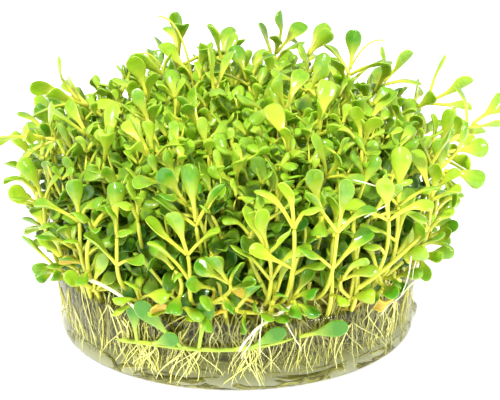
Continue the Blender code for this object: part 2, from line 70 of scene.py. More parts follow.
# Waves round the rim: how many, how high in millimetres, and where they start in radians.
RIM_WAVES = ((3, 0.5, 0.6), (7, 0.3, 0.0))
FLAP_AT = math.radians(2)
FLAP_SPREAD = math.radians(6)
FLAP_OUT = 1.4 * MM
MAT_TOP_Z = 18.0 * MM
CUSHION_MID_Z = 30 * MM
CUSHION_R = 42.0 * MM
CUSHION_RISE = 23 * MM
CUSHION_DROP = 30 * MM
CUSHION_POWER = 2.4
STEM_HALF = 0.5 * MM
LEAF_STEPS = 24
BEND_EASE = 1.6
# Half width along the blade, both as shares.
BLADE_OUTLINE = ((0.06, 0.38), (0.46, 1.0), (0.87, 0.84))
BLADE_TIP_WIDTH = 0.2
LINE_STEPS = 40
STEM_FROM_Z = 20.3 * MM
SHORTEST_STEM = 1.6 * MM
ROOT_INWARD = 0.62
STEM_SWAY = 0.3
UPRIGHT_SHARE = 0.35
LEANING_SHARE = 0.4
RIM_SHOOT_Z = 42 * MM
RIM_ROOT_R = 36.0 * MM
RIM_KNEE_R = 47.5 * MM
RIM_KNEE_Z = 21.5 * MM
RIM_LEANING = 5.0 * MM
RIM_MOST_LEAN = math.radians(32)
RIM_FOOT_STEPS = 5
LEAF_SPAN = 0.98
END_STALK = (3.5, 6.5)
END_BLADE = (4.8, 6.8)
END_BEND = (5, 30)
END_HALF_WIDTH = (1.7, 2.3)
# Spans of a leaf's spread and bend in degrees, then of its stalk, blade and half width in millimetres.
SIDE_LEAF = ((24, 60), (0, 55), (3.2, 6.8), (4.2, 6.2), (1.5, 2.2))
CLEARANCE = 0.6 * MM
OFF_CUSHION = 1.04
OFF_STEM = 1.02
OFF_GEL_Z = GEL_RIM_Z + 3 * MM
# How far from the axis a leaf may reach at each height, in millimetres.
SKIRT = ((18, 44.8), (25, 47), (30, 49), (36, 52.5), (42, 60), (48, 70))
FOOT_STEPS = 4
STEM_BALL = 0.75 * MM
ABREAST = (-0.55, 0, 0.55)
LEAF_BALL = 0.45
BARE_FOOT_STEPS = 2
LOW_STALK_STEPS = 4
STALK_STEPS = 8
LARGEST_BALL = 4 * MM
SHOOT_TRIES = 240
SHOOT_STRAY = 3.5 * MM
LEAN_STRAY = 0.15
SIDE_LEAVES = 4
LEAF_TRIES = 30
LEAF_STRAY = 0.5
MOST_PAIRS = 2
PAIR_SPACING = 5.0 * MM
PAIR_TURN = (0.25, 0.5)
SEED = 8
# Tip of each long shoot in millimetres, and its lean in degrees.
LONG_SHOOTS = (
    (-45, 0, 56, 62), (-54, -10, 46, 80), (-26, 5, 58, 55), (-20, 18, 59, 45), (-13, 20, 67, 8),
    (-6, 12, 64, 5), (-1, 25, 63, 25), (10, 18, 66, 12), (20, 24, 63, 30), (14, 0, 62, 5),
    (26, 8, 65, 10), (37, 14, 58, 38), (54, 12, 53, 65), (60, 3, 51, 60), (54, 12, 39, 88),
    (54, -6, 42, 74), (51, -17, 38, 90), (43, -21, 45, 8), (-47, -8, 43, 6), (-37, -15, 52, 50),
    (5, -48, 43, 8), (-12, -46, 41, 6), (22, -43, 47, 5), (34, -30, 50, 6), (29, -38, 42, 8),
    (14, -46, 39, 6), (-34, -34, 43, 6), (-18, -30, 54, 12), (8, -22, 60, 10), (-3, -8, 62, 8),
)
RIM_SHOOTS = 24
RIM_TIP_R = (46.5, 49)
RIM_TIP_Z = (38, 50)
RIM_LEAN = (0, 14)
# Distance from the axis, height and lean on the plant's outline, from the top down.
OUTLINE = ((0, 63, 5), (20, 60, 20), (34, 53, 40), (46, 45, 50))
SPIRAL_SHOOTS = 24
ROOM_AT_TIP = 7 * MM
GOLDEN_ANGLE = math.pi * (3 - math.sqrt(5))
MOST_SHOOTS = 49
RUNNER_FROM = math.radians(-129)
RUNNER_TO = math.radians(-72)
RUNNER_Z = 8.5 * MM
RUNNER_RISE = 3.5 * MM
RUNNER_WAVE = 0.5 * MM
RUNNER_OFF = 1.05 * MM
RUNNER_POINTS = 12
RUNNER_LEAF_SPREAD = math.radians(72)
RUNNER_LEAF_BEND = math.radians(14)
# Node and slant in degrees of each leaf, then its stalk, blade and half width in millimetres.
RUNNER_LEAVES = (
    (2, 4, 5.0, 4.6, 1.6),
    (3, 66, 2.6, 5.6, 1.7),
    (5, -38, 7.5, 6.6, 2.2),
    (6, 12, 7.0, 5.8, 1.9),
    (9, 62, 3.0, 6.0, 1.8),
)
RUNNER_END_LEAF = (4.0, 6.5, 2.0)
RUNNER_END_BEND = math.radians(-14)

# Shapes that only the looks have. Sizes are in metres, and spans to draw a size from in millimetres.
# Faces and stations of the swept forms
LEAF_FACE_SIDES = 12
CUSHION_LEAF_SIDES = 8
STEM_SIDES = 8
THIN_STEM_SIDES = 6
ROOT_SIDES = 4
ROOT_STEP = 3
BLADE_STATIONS = (0.1, 0.2, 0.32, 0.45, 0.58, 0.7, 0.8, 0.88, 0.94, 0.98, 1.0)
STALK_STATIONS = (0.0, 0.06, 0.3, 0.55, 0.8, 1.0)
SMALL_BLADE_STATIONS = (0.2, 0.45, 0.7, 0.9, 1.0)
SMALL_STALK_STATIONS = (0.0, 0.5, 1.0)
# A direction that no stem runs along, to start its cross-sections from.
ASKEW = (0.31, 0.52, 0.79)

# Leaves
STALK_HALF = 0.42 * MM
STALK_THICK = 0.36 * MM
STALK_SHARE = 0.3
BLADE_THICK = 0.26 * MM
BLADE_SHOULDER = 0.6
BLADE_ROUNDNESS = 2.3
FLARE_FROM = 0.55
FLARE_EASE = 1.25
GROOVE = 0.08
GROOVE_STEEPNESS = 2.2
SHOOT_TONE_STRAY = 0.12

# Cushion, its leaf's spans in the order of SIDE_LEAF
ROOTED_Z = MAT_TOP_Z - 2 * MM
SECTORS = 6
SPOT_LEVELS = 400
CUSHION_LOWEST = 20 * MM
CUSHION_TOP_Z = CUSHION_MID_Z + 0.9995 * CUSHION_RISE
CUSHION_END_DEPTH = (0.82, 0.99)
CUSHION_INWARD = 0.72
CUSHION_STEM_HALF = 0.42 * MM
CUSHION_NODE_SPACING = 3.3 * MM
CUSHION_NODES = 3
CUSHION_LEAF = ((35, 80), (-10, 50), (1.4, 3.6), (3.6, 5.6), (1.4, 2.1))
CUSHION_STRAY = 0.3
CUSHION_TONE_STRAY = 0.17

# Short shoots between the long ones, and slender ones at the rim with low leaves along their stems
MORE_SHOOT_TRIES = 12
MORE_SHOOT_RISE = (-3.0, 1.5)
MORE_SHOOT_LOWEST = 34 * MM
MORE_SHOOT_INWARD = 0.85
MORE_SHOOT_SIZE = 0.75
RIM_SHOOT_TRIES = 14
RIM_SHOOT_END_Z = (18, 42)
RIM_SHOOT_OFF = (0.5, 3.0)
RIM_SHOOT_ROOT_R = (36.5, 40.0)
RIM_SHOOT_ROOT_Z = 14 * MM
RIM_SHOOT_SKEW = 0.16
RIM_SHOOT_SIZE = 0.88
LOW_LEAF_Z = 17 * MM
LOW_LEAF_ENDS = 6
LOW_LEAF_STEP = 7
LOW_LEAF_TRIES = 6
LOW_LEAF_STRAY = 0.8
LOW_LEAF = (*SIDE_LEAF[:2], (1.6, 3.6), (3.4, 5.2), (1.2, 1.8))

# Upright yellow stems, and the stalk, blade and half width of the leaves at their tips
BARE_STEM_LOWEST = 38 * MM
BARE_STEM_RISE = (0.92, 1.12)
BARE_STEM_INWARD = 0.8
BARE_STEM_HALF = (0.34, 0.5)
TIP_LEAF = ((1.0, 2.2), (2.4, 3.8), (0.8, 1.3))
TIP_LEAF_BEND = 0.4
TIP_LEAF_SPREAD = (0.3, 0.8)

# Gel
GEL_SIDES = 160
GEL_TOP_Z = GEL_RIM_Z - 0.2 * MM
# Where the gel's rim stands up round the roots, how high, and how wide in radians.
LIPS = ((0, 2.8 * MM, 0.6), (math.pi, 1.4 * MM, 0.5))

# Root mat
FELT_SIDES = 144
FELT_ROWS = 26
FELT_LOW_Z = 3.4 * MM
FELT_HIGH_Z = 18.6 * MM
FELT_R = 32.5 * MM
FELT_SLOPE = 0.2
FELT_UNEVEN = 0.5 * MM
FELT_FOOT = 3.0 * MM
FELT_FOOT_ROWS = 3
TANGLE_ROOTS = 520
TANGLE_R = (31, 36.5)
TANGLE_Z = (5, 19)
TANGLE_SLOPE = (-1.2, 0.6)
FLOOR_ROOTS = 100
FLOOR_ROOT_R = (34.0, 39.2)
FLOOR_ROOT_Z = 0.7 * MM
# Length, steps, waver and sink, then the ring that holds it (inner, outer, lowest), half width and tone.
TANGLE_ROOT = ((8, 20), 16, 0.32, 0.06, (31.5 * MM, 37.8 * MM, 2.6 * MM), (0.16, 0.42), (0, 0.85))
FLOOR_ROOT = ((6, 16), 12, 0.2, 0.08, (33 * MM, 39.4 * MM, 0.35 * MM), (0.14, 0.4), (0.1, 0.9))

# Roots that hang in the gel or on its face, one by one, in groups, and from the runner
HANGING_ROOT_TOP = (12.0, 21.5)
HANGING_ROOT_R = (38.0, 40.6)
HANGING_ROOT_END = (0.6, 7.0)
HANGING_ROOT_HALF = (0.12, 0.23)
HANGING_ON_FACE = 0.3
GROUP_Z = (9, 20)
GROUP_FALL = (6, 15)
GROUP_DEPTH = (0.5, 3.5)
GROUP_OFF = 0.35 * MM
GROUP_ROOTS = (2, 5)
GROUP_ROOT_HALF = (0.11, 0.19)
GROUPS_IN_GEL = 0.7
RUNNER_ROOTS = 6
RUNNER_ROOT_FALL = (6, 10)
RUNNER_ROOT_HALF = (0.14, 0.22)
RUNNER_ROOT_OFF = 0.4 * MM
FACE_ROOT_OFF = 0.2 * MM
ROOT_MARGIN = 0.3 * MM
LEAST_ROOT_Z = 0.6 * MM
LEAST_HANGING_R = 36.5 * MM

# Patterns of the materials
# The real wrinkles are about 0.5 mm apart, too fine to show at this size, so they are drawn coarser.
WRINKLE_MM = 1.3
MOTTLE_MM = 1.4
ROOT_MOTTLE_MM = 2.0
THREAD_MM = 0.9
PATCH_MM = 6.0
RIPPLE_MM = 5.0
GRAIN_MM = 3.0
# What the swept forms tell their material at each point.
LABELS = ("tone", "along", "margin")
# Sets a mix node to blend two colours.
BLEND = {"out": 2, "data_type": "RGBA"}

# Stage
# The board's face lies a hair above the gel's, as wet gel clings to it with no air between.
BOARD_TOP_Z = 0.03 * MM
BOARD_HALF = 3.0
BOARD_CORNERS = ((-1, -1), (1, -1), (1, 1), (-1, 1))
SKY_STRENGTH = 0.66
# The name, place, width in metres and watts of each light, and what they all aim at.
LIGHTS = (("key", (-0.25, -0.4, 0.7), 0.12, 7.5), ("fill", (0.5, -0.35, 0.35), 0.18, 2.2))
LIT = (0, 0, 0.03)
CAMERA_TILT = math.radians(19.33)
CAMERA_AIM = (2.96 * MM, 0, 28.16 * MM)
CAMERA_LENS = 111.66

# Withered leaves, white roots and pale stems
WITHERED_LEAVES = 20
WITHERED_Z = (14.0, 24.0)
WITHERED_R = (39.0, 43.5)
WITHERED_SPREAD = 0.2
WITHERED_BEND = (0.3, 1.2)
WITHERED_STALK = 2.5 * MM
WITHERED_BLADE = ((3.8, 5.6), (1.3, 1.9))
WHITE_ROOT_HALF = 0.2 * MM
# White roots in the air, each from its first to its last point in millimetres.
WHITE_ROOTS = (
    ((23.3, -37.0, 45.5), (32.5, -36.0, 42.0)),
    ((25.5, -40.5, 38.5), (31.3, -38.0, 40.5)),
    ((37.0, -29.0, 29.0), (33.5, -33.0, 18.0)),
    ((37.6, -28.5, 28.0), (38.0, -27.5, 20.0)),
    ((38.0, -27.5, 20.0), (30.0, -35.0, 13.0)),
    ((4.1, -43.0, 15.0), (2.0, -43.0, 8.5)),
    ((5.0, -43.0, 20.5), (6.4, -43.4, 10.0)),
    ((9.6, -42.6, 19.0), (12.6, -42.3, 8.0)),
    ((-40.0, -15.0, 30.0), (-43.0, -12.0, 22.0)),
    ((20.0, 38.0, 32.0), (12.0, 42.0, 22.0)),
    ((-25.0, 35.0, 34.0), (-30.0, 32.0, 22.0)),
    ((42.0, 12.0, 30.0), (43.0, 6.0, 20.0)),
)
# Long pale stems over the front: half width and the four points of a curve, in millimetres.
PALE_STEMS = (
    (0.42, ((-36.8, -27.5, 21.4), (-30.5, -32.5, 23.0), (-23.8, -37.0, 21.6), (-19.6, -39.4, 17.6))),
    (0.38, ((12.6, -41.0, 20.4), (7.0, -42.6, 18.0), (2.8, -43.4, 15.5), (0.6, -43.3, 10.4))),
)
# A thick yellow stem that leans out over the gel's rim at the right, and thin arching ones at the top.
LEANING_STEMS = (
    (0.55, ((24.6, -36.6, 21.5), (29.5, -34.4, 24.0), (35.0, -31.5, 27.5), (40.5, -27.0, 32.0))),
    (0.28, ((-9.0, 10.0, 46.0), (-10.5, 10.0, 58.0), (-12.5, 10.0, 69.0), (-18.0, 10.0, 68.0))),
    (0.25, ((-12.0, 10.0, 44.0), (-15.5, 10.0, 54.0), (-18.0, 10.0, 61.0), (-22.0, 10.0, 59.5))),
    (0.25, ((22.0, 16.0, 44.0), (25.0, 16.0, 54.0), (29.0, 16.0, 63.0), (34.0, 16.0, 61.0))),
)


def on_circle(radius, angle, z):
    return Vector((radius * math.cos(angle), radius * math.sin(angle), z))


def gel_wall_r(z):
    """The gel's outer radius above its foot."""
    return GEL_WAIST_R + (GEL_RIM_R - GEL_WAIST_R) * z / GEL_RIM_Z


def cushion_reach(z):
    """How far a height lies from the cushion's widest level: 1 at its top and its bottom."""
    return (z - CUSHION_MID_Z) / (CUSHION_RISE if z > CUSHION_MID_Z else CUSHION_DROP)


def cushion_r(z):
    return CUSHION_R * (1 - abs(cushion_reach(z)) ** CUSHION_POWER) ** (1 / CUSHION_POWER)


def beyond_cushion(point):
    """Below 1 inside the cushion's form, 1 on it and more outside."""
    across = math.hypot(point.x, point.y) / CUSHION_R
    along = abs(cushion_reach(point.z))
    return (across**CUSHION_POWER + along**CUSHION_POWER) ** (1 / CUSHION_POWER)


class Leaf:
    """A spoon leaf: a stalk and blade that leave the stem at a spread and then bend."""

    def __init__(self, start, along, side, spread, bend, stalk, blade, half_width):
        self.across = along.cross(side)
        self.half_width = half_width
        length = stalk + blade
        self.blade_from = stalk / length
        self.stations = [
            (self.blade_from + (1 - self.blade_from) * s, half_width * w) for s, w in BLADE_OUTLINE
        ]
        self.frames = []
        centre = start.copy()
        for step in range(LEAF_STEPS + 1):
            angle = spread + bend * (step / LEAF_STEPS) ** BEND_EASE
            ahead = math.cos(angle) * along + math.sin(angle) * side
            upper = math.sin(angle) * along - math.cos(angle) * side
            self.frames.append((centre.copy(), upper))
            centre += ahead * length / LEAF_STEPS

    def balls(self, first_step):
        """Balls that fill the leaf, three abreast."""
        tip = (1.0, self.half_width * BLADE_TIP_WIDTH)
        shares, halves = zip((0.0, STEM_HALF), *self.stations, tip)
        found = []
        for step in range(first_step, LEAF_STEPS + 1, 2):
            centre, _ = self.frames[step]
            half = np.interp(step / LEAF_STEPS, shares, halves)
            for offset in ABREAST:
                found.append((*(centre + self.across * half * offset), LEAF_BALL * half))
        return np.array(found)


class Shoot:
    """A stem's line from the roots to its end, where it leaves the cushion, and its leaves."""

    def __init__(self, line, start, end_leaf):
        self.line = line
        self.start = start
        self.end_leaf = end_leaf
        self.leaves = {}

    def balls(self):
        stem = [(*point, STEM_BALL) for point in self.line[max(0, self.start - FOOT_STEPS) :]]
        return np.vstack([np.array(stem), self.end_leaf.balls(BARE_FOOT_STEPS)])


class Crowd:
    """The balls that fill all that has been placed."""

    def __init__(self):
        self.balls = np.empty((0, 4))

    def add(self, balls):
        self.balls = np.vstack((self.balls, balls))

    def clear_of(self, balls):
        middle = balls[:, :3].mean(axis=0)
        reach = np.abs(balls[:, :3] - middle).max() + LARGEST_BALL
        near = self.balls[(np.abs(self.balls[:, :3] - middle) < reach).all(axis=1)]
        if len(near) == 0:
            return True
        apart = np.linalg.norm(balls[:, None, :3] - near[None, :, :3], axis=2)
        return bool((apart - balls[:, None, 3] - near[None, :, 3]).min() > CLEARANCE)


def has_room(balls):
    """Whether they all lie off the cushion and the gel, and within the skirt of low leaves."""
    for x, y, z, radius in balls:
        if z < OFF_GEL_Z or beyond_cushion(Vector((x, y, z))) < OFF_CUSHION:
            return False
        if math.hypot(x, y) > MM * np.interp(z / MM, *zip(*SKIRT)):
            return False
    return True


def bezier(a, b, c, d):
    line = []
    for k in range(LINE_STEPS + 1):
        t = k / LINE_STEPS
        line.append(a * (1 - t) ** 3 + b * 3 * t * (1 - t) ** 2 + c * 3 * t * t * (1 - t) + d * t**3)
    return line


def ahead_at(line, k):
    return (line[min(k + 1, len(line) - 1)] - line[max(k - 1, 0)]).normalized()


def side_of(ahead, turn):
    """A direction square to ahead, turned about it."""
    first = ahead.cross(UP if abs(ahead.z) < 0.95 else Vector((1, 0, 0))).normalized()
    return math.cos(turn) * first + math.sin(turn) * ahead.cross(first)


def stem_line(end, way, lean):
    """The line to a stem's end, and whether it comes round the cushion or out of it."""
    leaning = end - way * RIM_LEANING
    if end.z < RIM_SHOOT_Z and lean < RIM_MOST_LEAN and beyond_cushion(leaning) > OFF_STEM:
        angle = math.atan2(end.y, end.x)
        root = on_circle(RIM_ROOT_R, angle, MAT_TOP_Z)
        return bezier(root, on_circle(RIM_KNEE_R, angle, RIM_KNEE_Z), leaning, end), True
    root = Vector((end.x * ROOT_INWARD, end.y * ROOT_INWARD, MAT_TOP_Z - MM))
    rise = (end - root).length
    return bezier(root, root + UP * UPRIGHT_SHARE * rise, end - way * LEANING_SHARE * rise, end), False


def bare_shoot(tip, lean, turn, draw):
    """A stem whose end leaf comes to tip, or None if it doesn't leave the cushion."""
    out = Vector((tip.x, tip.y, 0)).normalized()
    sway = out.cross(UP) * draw.uniform(-STEM_SWAY, STEM_SWAY)
    way = (math.sin(lean) * out + math.cos(lean) * UP + sway).normalized()
    stalk, blade = draw.uniform(*END_STALK) * MM, draw.uniform(*END_BLADE) * MM
    end = tip - way * LEAF_SPAN * (stalk + blade)
    line, round_cushion = stem_line(end, way, lean)
    bend = math.radians(draw.uniform(*END_BEND))
    half_width = draw.uniform(*END_HALF_WIDTH) * MM
    start = next((k for k in range(LINE_STEPS + 1) if beyond_cushion(line[k]) > 1.0), LINE_STEPS)
    if (end - line[start]).length < SHORTEST_STEM or line[start].z < STEM_FROM_Z:
        return None
    above_foot = line[start + RIM_FOOT_STEPS :] if round_cushion else []
    if any(beyond_cushion(point) < OFF_STEM for point in above_foot):
        return None
    ahead = ahead_at(line, LINE_STEPS)
    leaf = Leaf(end, ahead, side_of(ahead, turn), 0.0, bend, stalk, blade, half_width)
    return Shoot(line, start, leaf)


def in_mm(draw, *spans):
    """A size drawn from each span of millimetres."""
    return [draw.uniform(*span) * MM for span in spans]


def drawn_leaf(line, node, way, stray, spans, draw):
    """A leaf at a node of a stem, turned about it by way and a stray, its sizes drawn from spans."""
    ahead = ahead_at(line, node)
    side = side_of(ahead, way + draw.uniform(-stray, stray))
    spread, bend = (math.radians(draw.uniform(*span)) for span in spans[:2])
    return Leaf(line[node], ahead, side, spread, bend, *in_mm(draw, *spans[2:]))


def grow_sides(shoot, crowd, turn, draw):
    """Adds the leaves of each pair that find room."""
    line, start = shoot.line, shoot.start
    last = LINE_STEPS - 1
    pairs = min(MOST_PAIRS, 1 + int((line[last] - line[start]).length / PAIR_SPACING))
    nodes = [last - k * (last - start) // pairs for k in range(pairs)]
    own = Crowd()
    own.add(shoot.end_leaf.balls(STALK_STEPS))
    for node in nodes:
        turn += draw.uniform(*PAIR_TURN) * math.pi
        for way in (turn, turn + math.pi):
            for _ in range(LEAF_TRIES):
                leaf = drawn_leaf(line, node, way, LEAF_STRAY, SIDE_LEAF, draw)
                balls = leaf.balls(STALK_STEPS)
                whole = leaf.balls(BARE_FOOT_STEPS)
                if has_room(balls) and crowd.clear_of(whole) and own.clear_of(balls):
                    shoot.leaves.setdefault(node, []).append(leaf)
                    own.add(balls)
                    break
    return own.balls


def rim_tips(draw):
    """Places round the rim, with their lean."""
    for k in range(RIM_SHOOTS):
        radius, height = draw.uniform(*RIM_TIP_R) * MM, draw.uniform(*RIM_TIP_Z) * MM
        angle = 2 * math.pi * (k + draw.uniform(-0.3, 0.3)) / RIM_SHOOTS
        yield on_circle(radius, angle, height), math.radians(draw.uniform(*RIM_LEAN))


def spiral_tips():
    """Evenly spread places on the outline's surface, from the top down, with their lean."""
    bands = []
    whole = 0.0
    for upper, lower in zip(OUTLINE, OUTLINE[1:]):
        area = (upper[0] + lower[0]) * math.hypot(lower[0] - upper[0], lower[1] - upper[1])
        bands.append((whole, area, upper, lower))
        whole += area
    for k in range(SPIRAL_SHOOTS):
        target = whole * (k + 0.5) / SPIRAL_SHOOTS
        before, area, upper, lower = [band for band in bands if band[0] <= target][-1]
        share = (target - before) / area
        radius, height, lean = (u + (v - u) * share for u, v in zip(upper, lower))
        yield on_circle(radius * MM, k * GOLDEN_ANGLE, height * MM), math.radians(lean)


def plan_shoots():
    """Every shoot, the long ones first, each clear of the ones before it."""
    draw = random.Random(SEED)
    wanted = [(Vector((x, y, z)) * MM, math.radians(lean)) for x, y, z, lean in LONG_SHOOTS]
    for tip, lean in (*rim_tips(draw), *spiral_tips()):
        if all((tip - other).length > ROOM_AT_TIP for other, _ in wanted):
            wanted.append((tip, lean))
    shoots, crowd = [], Crowd()
    for leaves in plan_runner()[1].values():
        crowd.add(leaves[0].balls(BARE_FOOT_STEPS))
    for tip, lean in wanted:
        for attempt in range(SHOOT_TRIES):
            stray = Vector([draw.uniform(-1, 1) for _ in range(3)])
            stray *= SHOOT_STRAY * (0.1 + attempt / SHOOT_TRIES)
            turn = draw.uniform(0, math.pi)
            lean_now = lean + draw.uniform(-LEAN_STRAY, LEAN_STRAY)
            shoot = bare_shoot(tip + stray, lean_now, turn, draw)
            if not shoot or not has_room(shoot.end_leaf.balls(LOW_STALK_STEPS)):
                continue
            if not crowd.clear_of(shoot.balls()):
                continue
            sides = grow_sides(shoot, crowd, turn, draw)
            if sum(map(len, shoot.leaves.values())) >= SIDE_LEAVES - 3 * attempt // SHOOT_TRIES:
                crowd.add(shoot.balls())
                crowd.add(sides)
                shoots.append(shoot)
                break
        if len(shoots) == MOST_SHOOTS:
            break
    return shoots


def plan_runner():
    """The creeping stem's line along the gel's wall, and a leaf at each node and its end."""
    line = []
    for k in range(RUNNER_POINTS + 1):
        share = k / RUNNER_POINTS
        z = RUNNER_Z + RUNNER_RISE * share + RUNNER_WAVE * math.sin(7 * share)
        angle = RUNNER_FROM + (RUNNER_TO - RUNNER_FROM) * share
        line.append(on_circle(gel_wall_r(z) + RUNNER_OFF, angle, z))
    leaves = {}
    for k, slant, stalk, blade, half_width in RUNNER_LEAVES:
        out = Vector((line[k].x, line[k].y, 0)).normalized()
        slant = math.radians(slant)
        side = math.cos(slant) * UP + math.sin(slant) * ahead_at(line, k)
        side = (side - out * side.dot(out)).normalized()
        sizes = (stalk * MM, blade * MM, half_width * MM)
        leaves[k] = [Leaf(line[k], out, side, RUNNER_LEAF_SPREAD, RUNNER_LEAF_BEND, *sizes)]
    out = Vector((line[-1].x, line[-1].y, 0)).normalized()
    sizes = [size * MM for size in RUNNER_END_LEAF]
    end_leaf = Leaf(line[-1], ahead_at(line, RUNNER_POINTS), -out, 0, RUNNER_END_BEND, *sizes)
    return line, leaves, end_leaf


class Growth:
    """Gathers swept leaves, stems and roots that become one mesh."""

    def __init__(self):
        self.points = []
        self.faces = []
        self.tones = []
        self.alongs = []
        self.margins = []
        self.count = 0

    def sweep(self, centres, across, upper, halves, thicks, cups, tone, along, sides, groove=0.0):
        """A closed tube: a point at either end and an oval ring at each centre between, whose sides
        rise above its middle by cup times its half width, and which has a groove along its top."""
        turn = 2 * math.pi * np.arange(sides) / sides
        cosine, sine = np.cos(turn), np.sin(turn)
        halves, thicks, cups = (np.asarray(v, float)[1:-1, None] for v in (halves, thicks, cups))
        sideways = halves * cosine
        rise = thicks * sine + cups * halves * cosine**2
        rise = rise - groove * halves * np.maximum(0, 1 - GROOVE_STEEPNESS * np.abs(cosine))
        rings = centres[1:-1, None] + across[1:-1, None] * sideways[..., None]
        rings = rings + upper[1:-1, None] * rise[..., None]
        self.points += [centres[:1], rings.reshape(-1, 3), centres[-1:]]
        self.faces += ring_faces(self.count, len(rings), sides)
        count = 2 + len(rings) * sides
        self.count += count
        self.tones.append(np.full(count, tone))
        along = np.asarray(along, float)
        self.alongs += [along[:1], np.repeat(along[1:-1], sides), along[-1:]]
        self.margins += [[0.0], np.tile(cosine**2, len(rings)), [1.0]]

    def become(self, name, finish, slot, *replaced):
        """Joins what was gathered into one piece that rides on the part's only body."""
        piece = new_object(name, np.vstack(self.points), self.faces, finish)
        for label, values in zip(LABELS, (self.tones, self.alongs, self.margins)):
            made = piece.data.attributes.new(label, "FLOAT", "POINT")
            made.data.foreach_set("value", np.concatenate(values))
        placed(piece, slot, *replaced)


def new_object(name, points, faces, finish):
    """A smooth mesh in the scene, with its material."""
    mesh = bpy.data.meshes.new(name)
    mesh.from_pydata(points, [], faces)
    mesh.shade_smooth()
    mesh.materials.append(finish)
    made = bpy.data.objects.new(name, mesh)
    bpy.context.scene.collection.objects.link(made)
    return made


def ring_faces(first, rings, sides):
    """Faces of a closed tube: its first point, its rings one after another, and its last point."""
    last = first + 1 + rings * sides
    faces = []
    for k in range(sides):
        after = (k + 1) % sides
        faces.append((first, first + 1 + after, first + 1 + k))
        faces.append((last - sides + k, last - sides + after, last))
        for at in range(first + 1, last - sides, sides):
            faces.append((at + k, at + after, at + sides + after, at + sides + k))
    return faces


def body_of_rings(name, rings, low_z, high_z, finish):
    """A body of rings, one above the other, closed by a point on the axis at either end."""
    points = [(0, 0, low_z), *(tuple(point) for ring in rings for point in ring), (0, 0, high_z)]
    return new_object(name, points, ring_faces(0, len(rings), len(rings[0])), finish)


def placed(piece, slot, *replaced):
    """Puts a finished piece on the part's body and hides the nodes that it stands for. Its slot is not used.
    """
    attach(piece, "root")
    if replaced:
        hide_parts(*replaced)


def smooth(value):
    value = np.clip(value, 0, 1)
    return value * value * (3 - 2 * value)


def carried(line, first):
    """The directions across and above a line of points, carried along it without twist."""
    ahead = np.gradient(line, axis=0)
    ahead /= np.linalg.norm(ahead, axis=1)[:, None]
    across = []
    now = np.array(first, float)
    for way in ahead:
        now = now - way * now.dot(way)
        now = now / np.linalg.norm(now)
        across.append(now)
    across = np.array(across)
    return across, np.cross(ahead, across)


def draw_stem(growth, line, half, taper, tone, along, sides=STEM_SIDES):
    """A round stem that tapers to a share of its width and closes in a point."""
    line = np.array(line, float)
    across, upper = carried(line, ASKEW)
    halves = half * np.linspace(1, taper, len(line))
    growth.sweep(line, across, upper, halves, halves, halves * 0, tone, np.full(len(line), along), sides)


def draw_root(growth, line, half, taper, tone):
    """A root: thinner than any stem, so with fewer sides."""
    draw_stem(growth, line, half, taper, tone, along=0, sides=ROOT_SIDES)


def draw_leaf(growth, leaf, tone, cup, twist, sides=LEAF_FACE_SIDES, curl=0.0,
              stalk_at=STALK_STATIONS, blade_at=BLADE_STATIONS):
    """A spoon leaf: a round stalk that widens into a thin blade with a rounded tip."""
    blade_from = leaf.blade_from
    stalk_at, blade_at = np.array(stalk_at), np.array(blade_at)
    share = np.concatenate([stalk_at * blade_from, blade_from + (1 - blade_from) * blade_at])
    blade = (share - blade_from) / (1 - blade_from)
    steps = np.linspace(0, 1, LEAF_STEPS + 1)
    centres = np.array([centre for centre, _ in leaf.frames])
    uppers = np.array([upper for _, upper in leaf.frames])
    centres = np.stack([np.interp(share, steps, centres[:, k]) for k in range(3)], axis=1)
    uppers = np.stack([np.interp(share, steps, uppers[:, k]) for k in range(3)], axis=1)
    uppers /= np.linalg.norm(uppers, axis=1)[:, None]
    sink = curl * leaf.half_width * np.clip(blade, 0, 1) ** 2
    centres = centres - uppers * sink[:, None]
    across = np.array(leaf.across)
    turn = (twist * smooth(share))[:, None]
    turned_across = across * np.cos(turn) + uppers * np.sin(turn)
    uppers = uppers * np.cos(turn) - across * np.sin(turn)
    flare_start = FLARE_FROM * blade_from
    flare_end = blade_from + BLADE_SHOULDER * (1 - blade_from)
    flare = smooth((share - flare_start) / (flare_end - flare_start)) ** FLARE_EASE
    past = np.clip((blade - BLADE_SHOULDER) / (1 - BLADE_SHOULDER), 0, 1)
    tip = np.sqrt(np.clip(1 - past**BLADE_ROUNDNESS, 0, 1))
    stalk_half = min(STALK_HALF, leaf.half_width * STALK_SHARE)
    halves = (stalk_half + (leaf.half_width - stalk_half) * flare) * tip
    thicks = (STALK_THICK + (BLADE_THICK - STALK_THICK) * flare) * np.sqrt(tip)
    along = np.where(blade < 0, 0.5 * share / blade_from, 0.5 + 0.5 * blade)
    growth.sweep(centres, turned_across, uppers, halves, thicks, cup * flare, tone, along, sides, GROOVE)


def draw_small_leaf(growth, leaf, tone, cup, twist):
    """The same with fewer rings, for the leaves that are small or crowded."""
    draw_leaf(growth, leaf, tone, cup, twist, CUSHION_LEAF_SIDES, stalk_at=SMALL_STALK_STATIONS,
              blade_at=SMALL_BLADE_STATIONS)


def strayed_tone(tone, spread, draw):
    return min(1, max(0, tone + draw.gauss(0, spread)))


def cushion_spots(count, low, top):
    """Evenly spread places on the cushion's form between two heights, bottom first."""
    heights = np.linspace(low, top, SPOT_LEVELS)
    radii = np.array([cushion_r(z) for z in heights])
    areas = np.hypot(np.diff(heights), np.diff(radii)) * (radii[1:] + radii[:-1])
    sums = np.concatenate([[0], np.cumsum(areas)])
    for k in range(count):
        z = float(np.interp(sums[-1] * (k + 0.5) / count, sums, heights))
        yield on_circle(cushion_r(z), k * GOLDEN_ANGLE, z)


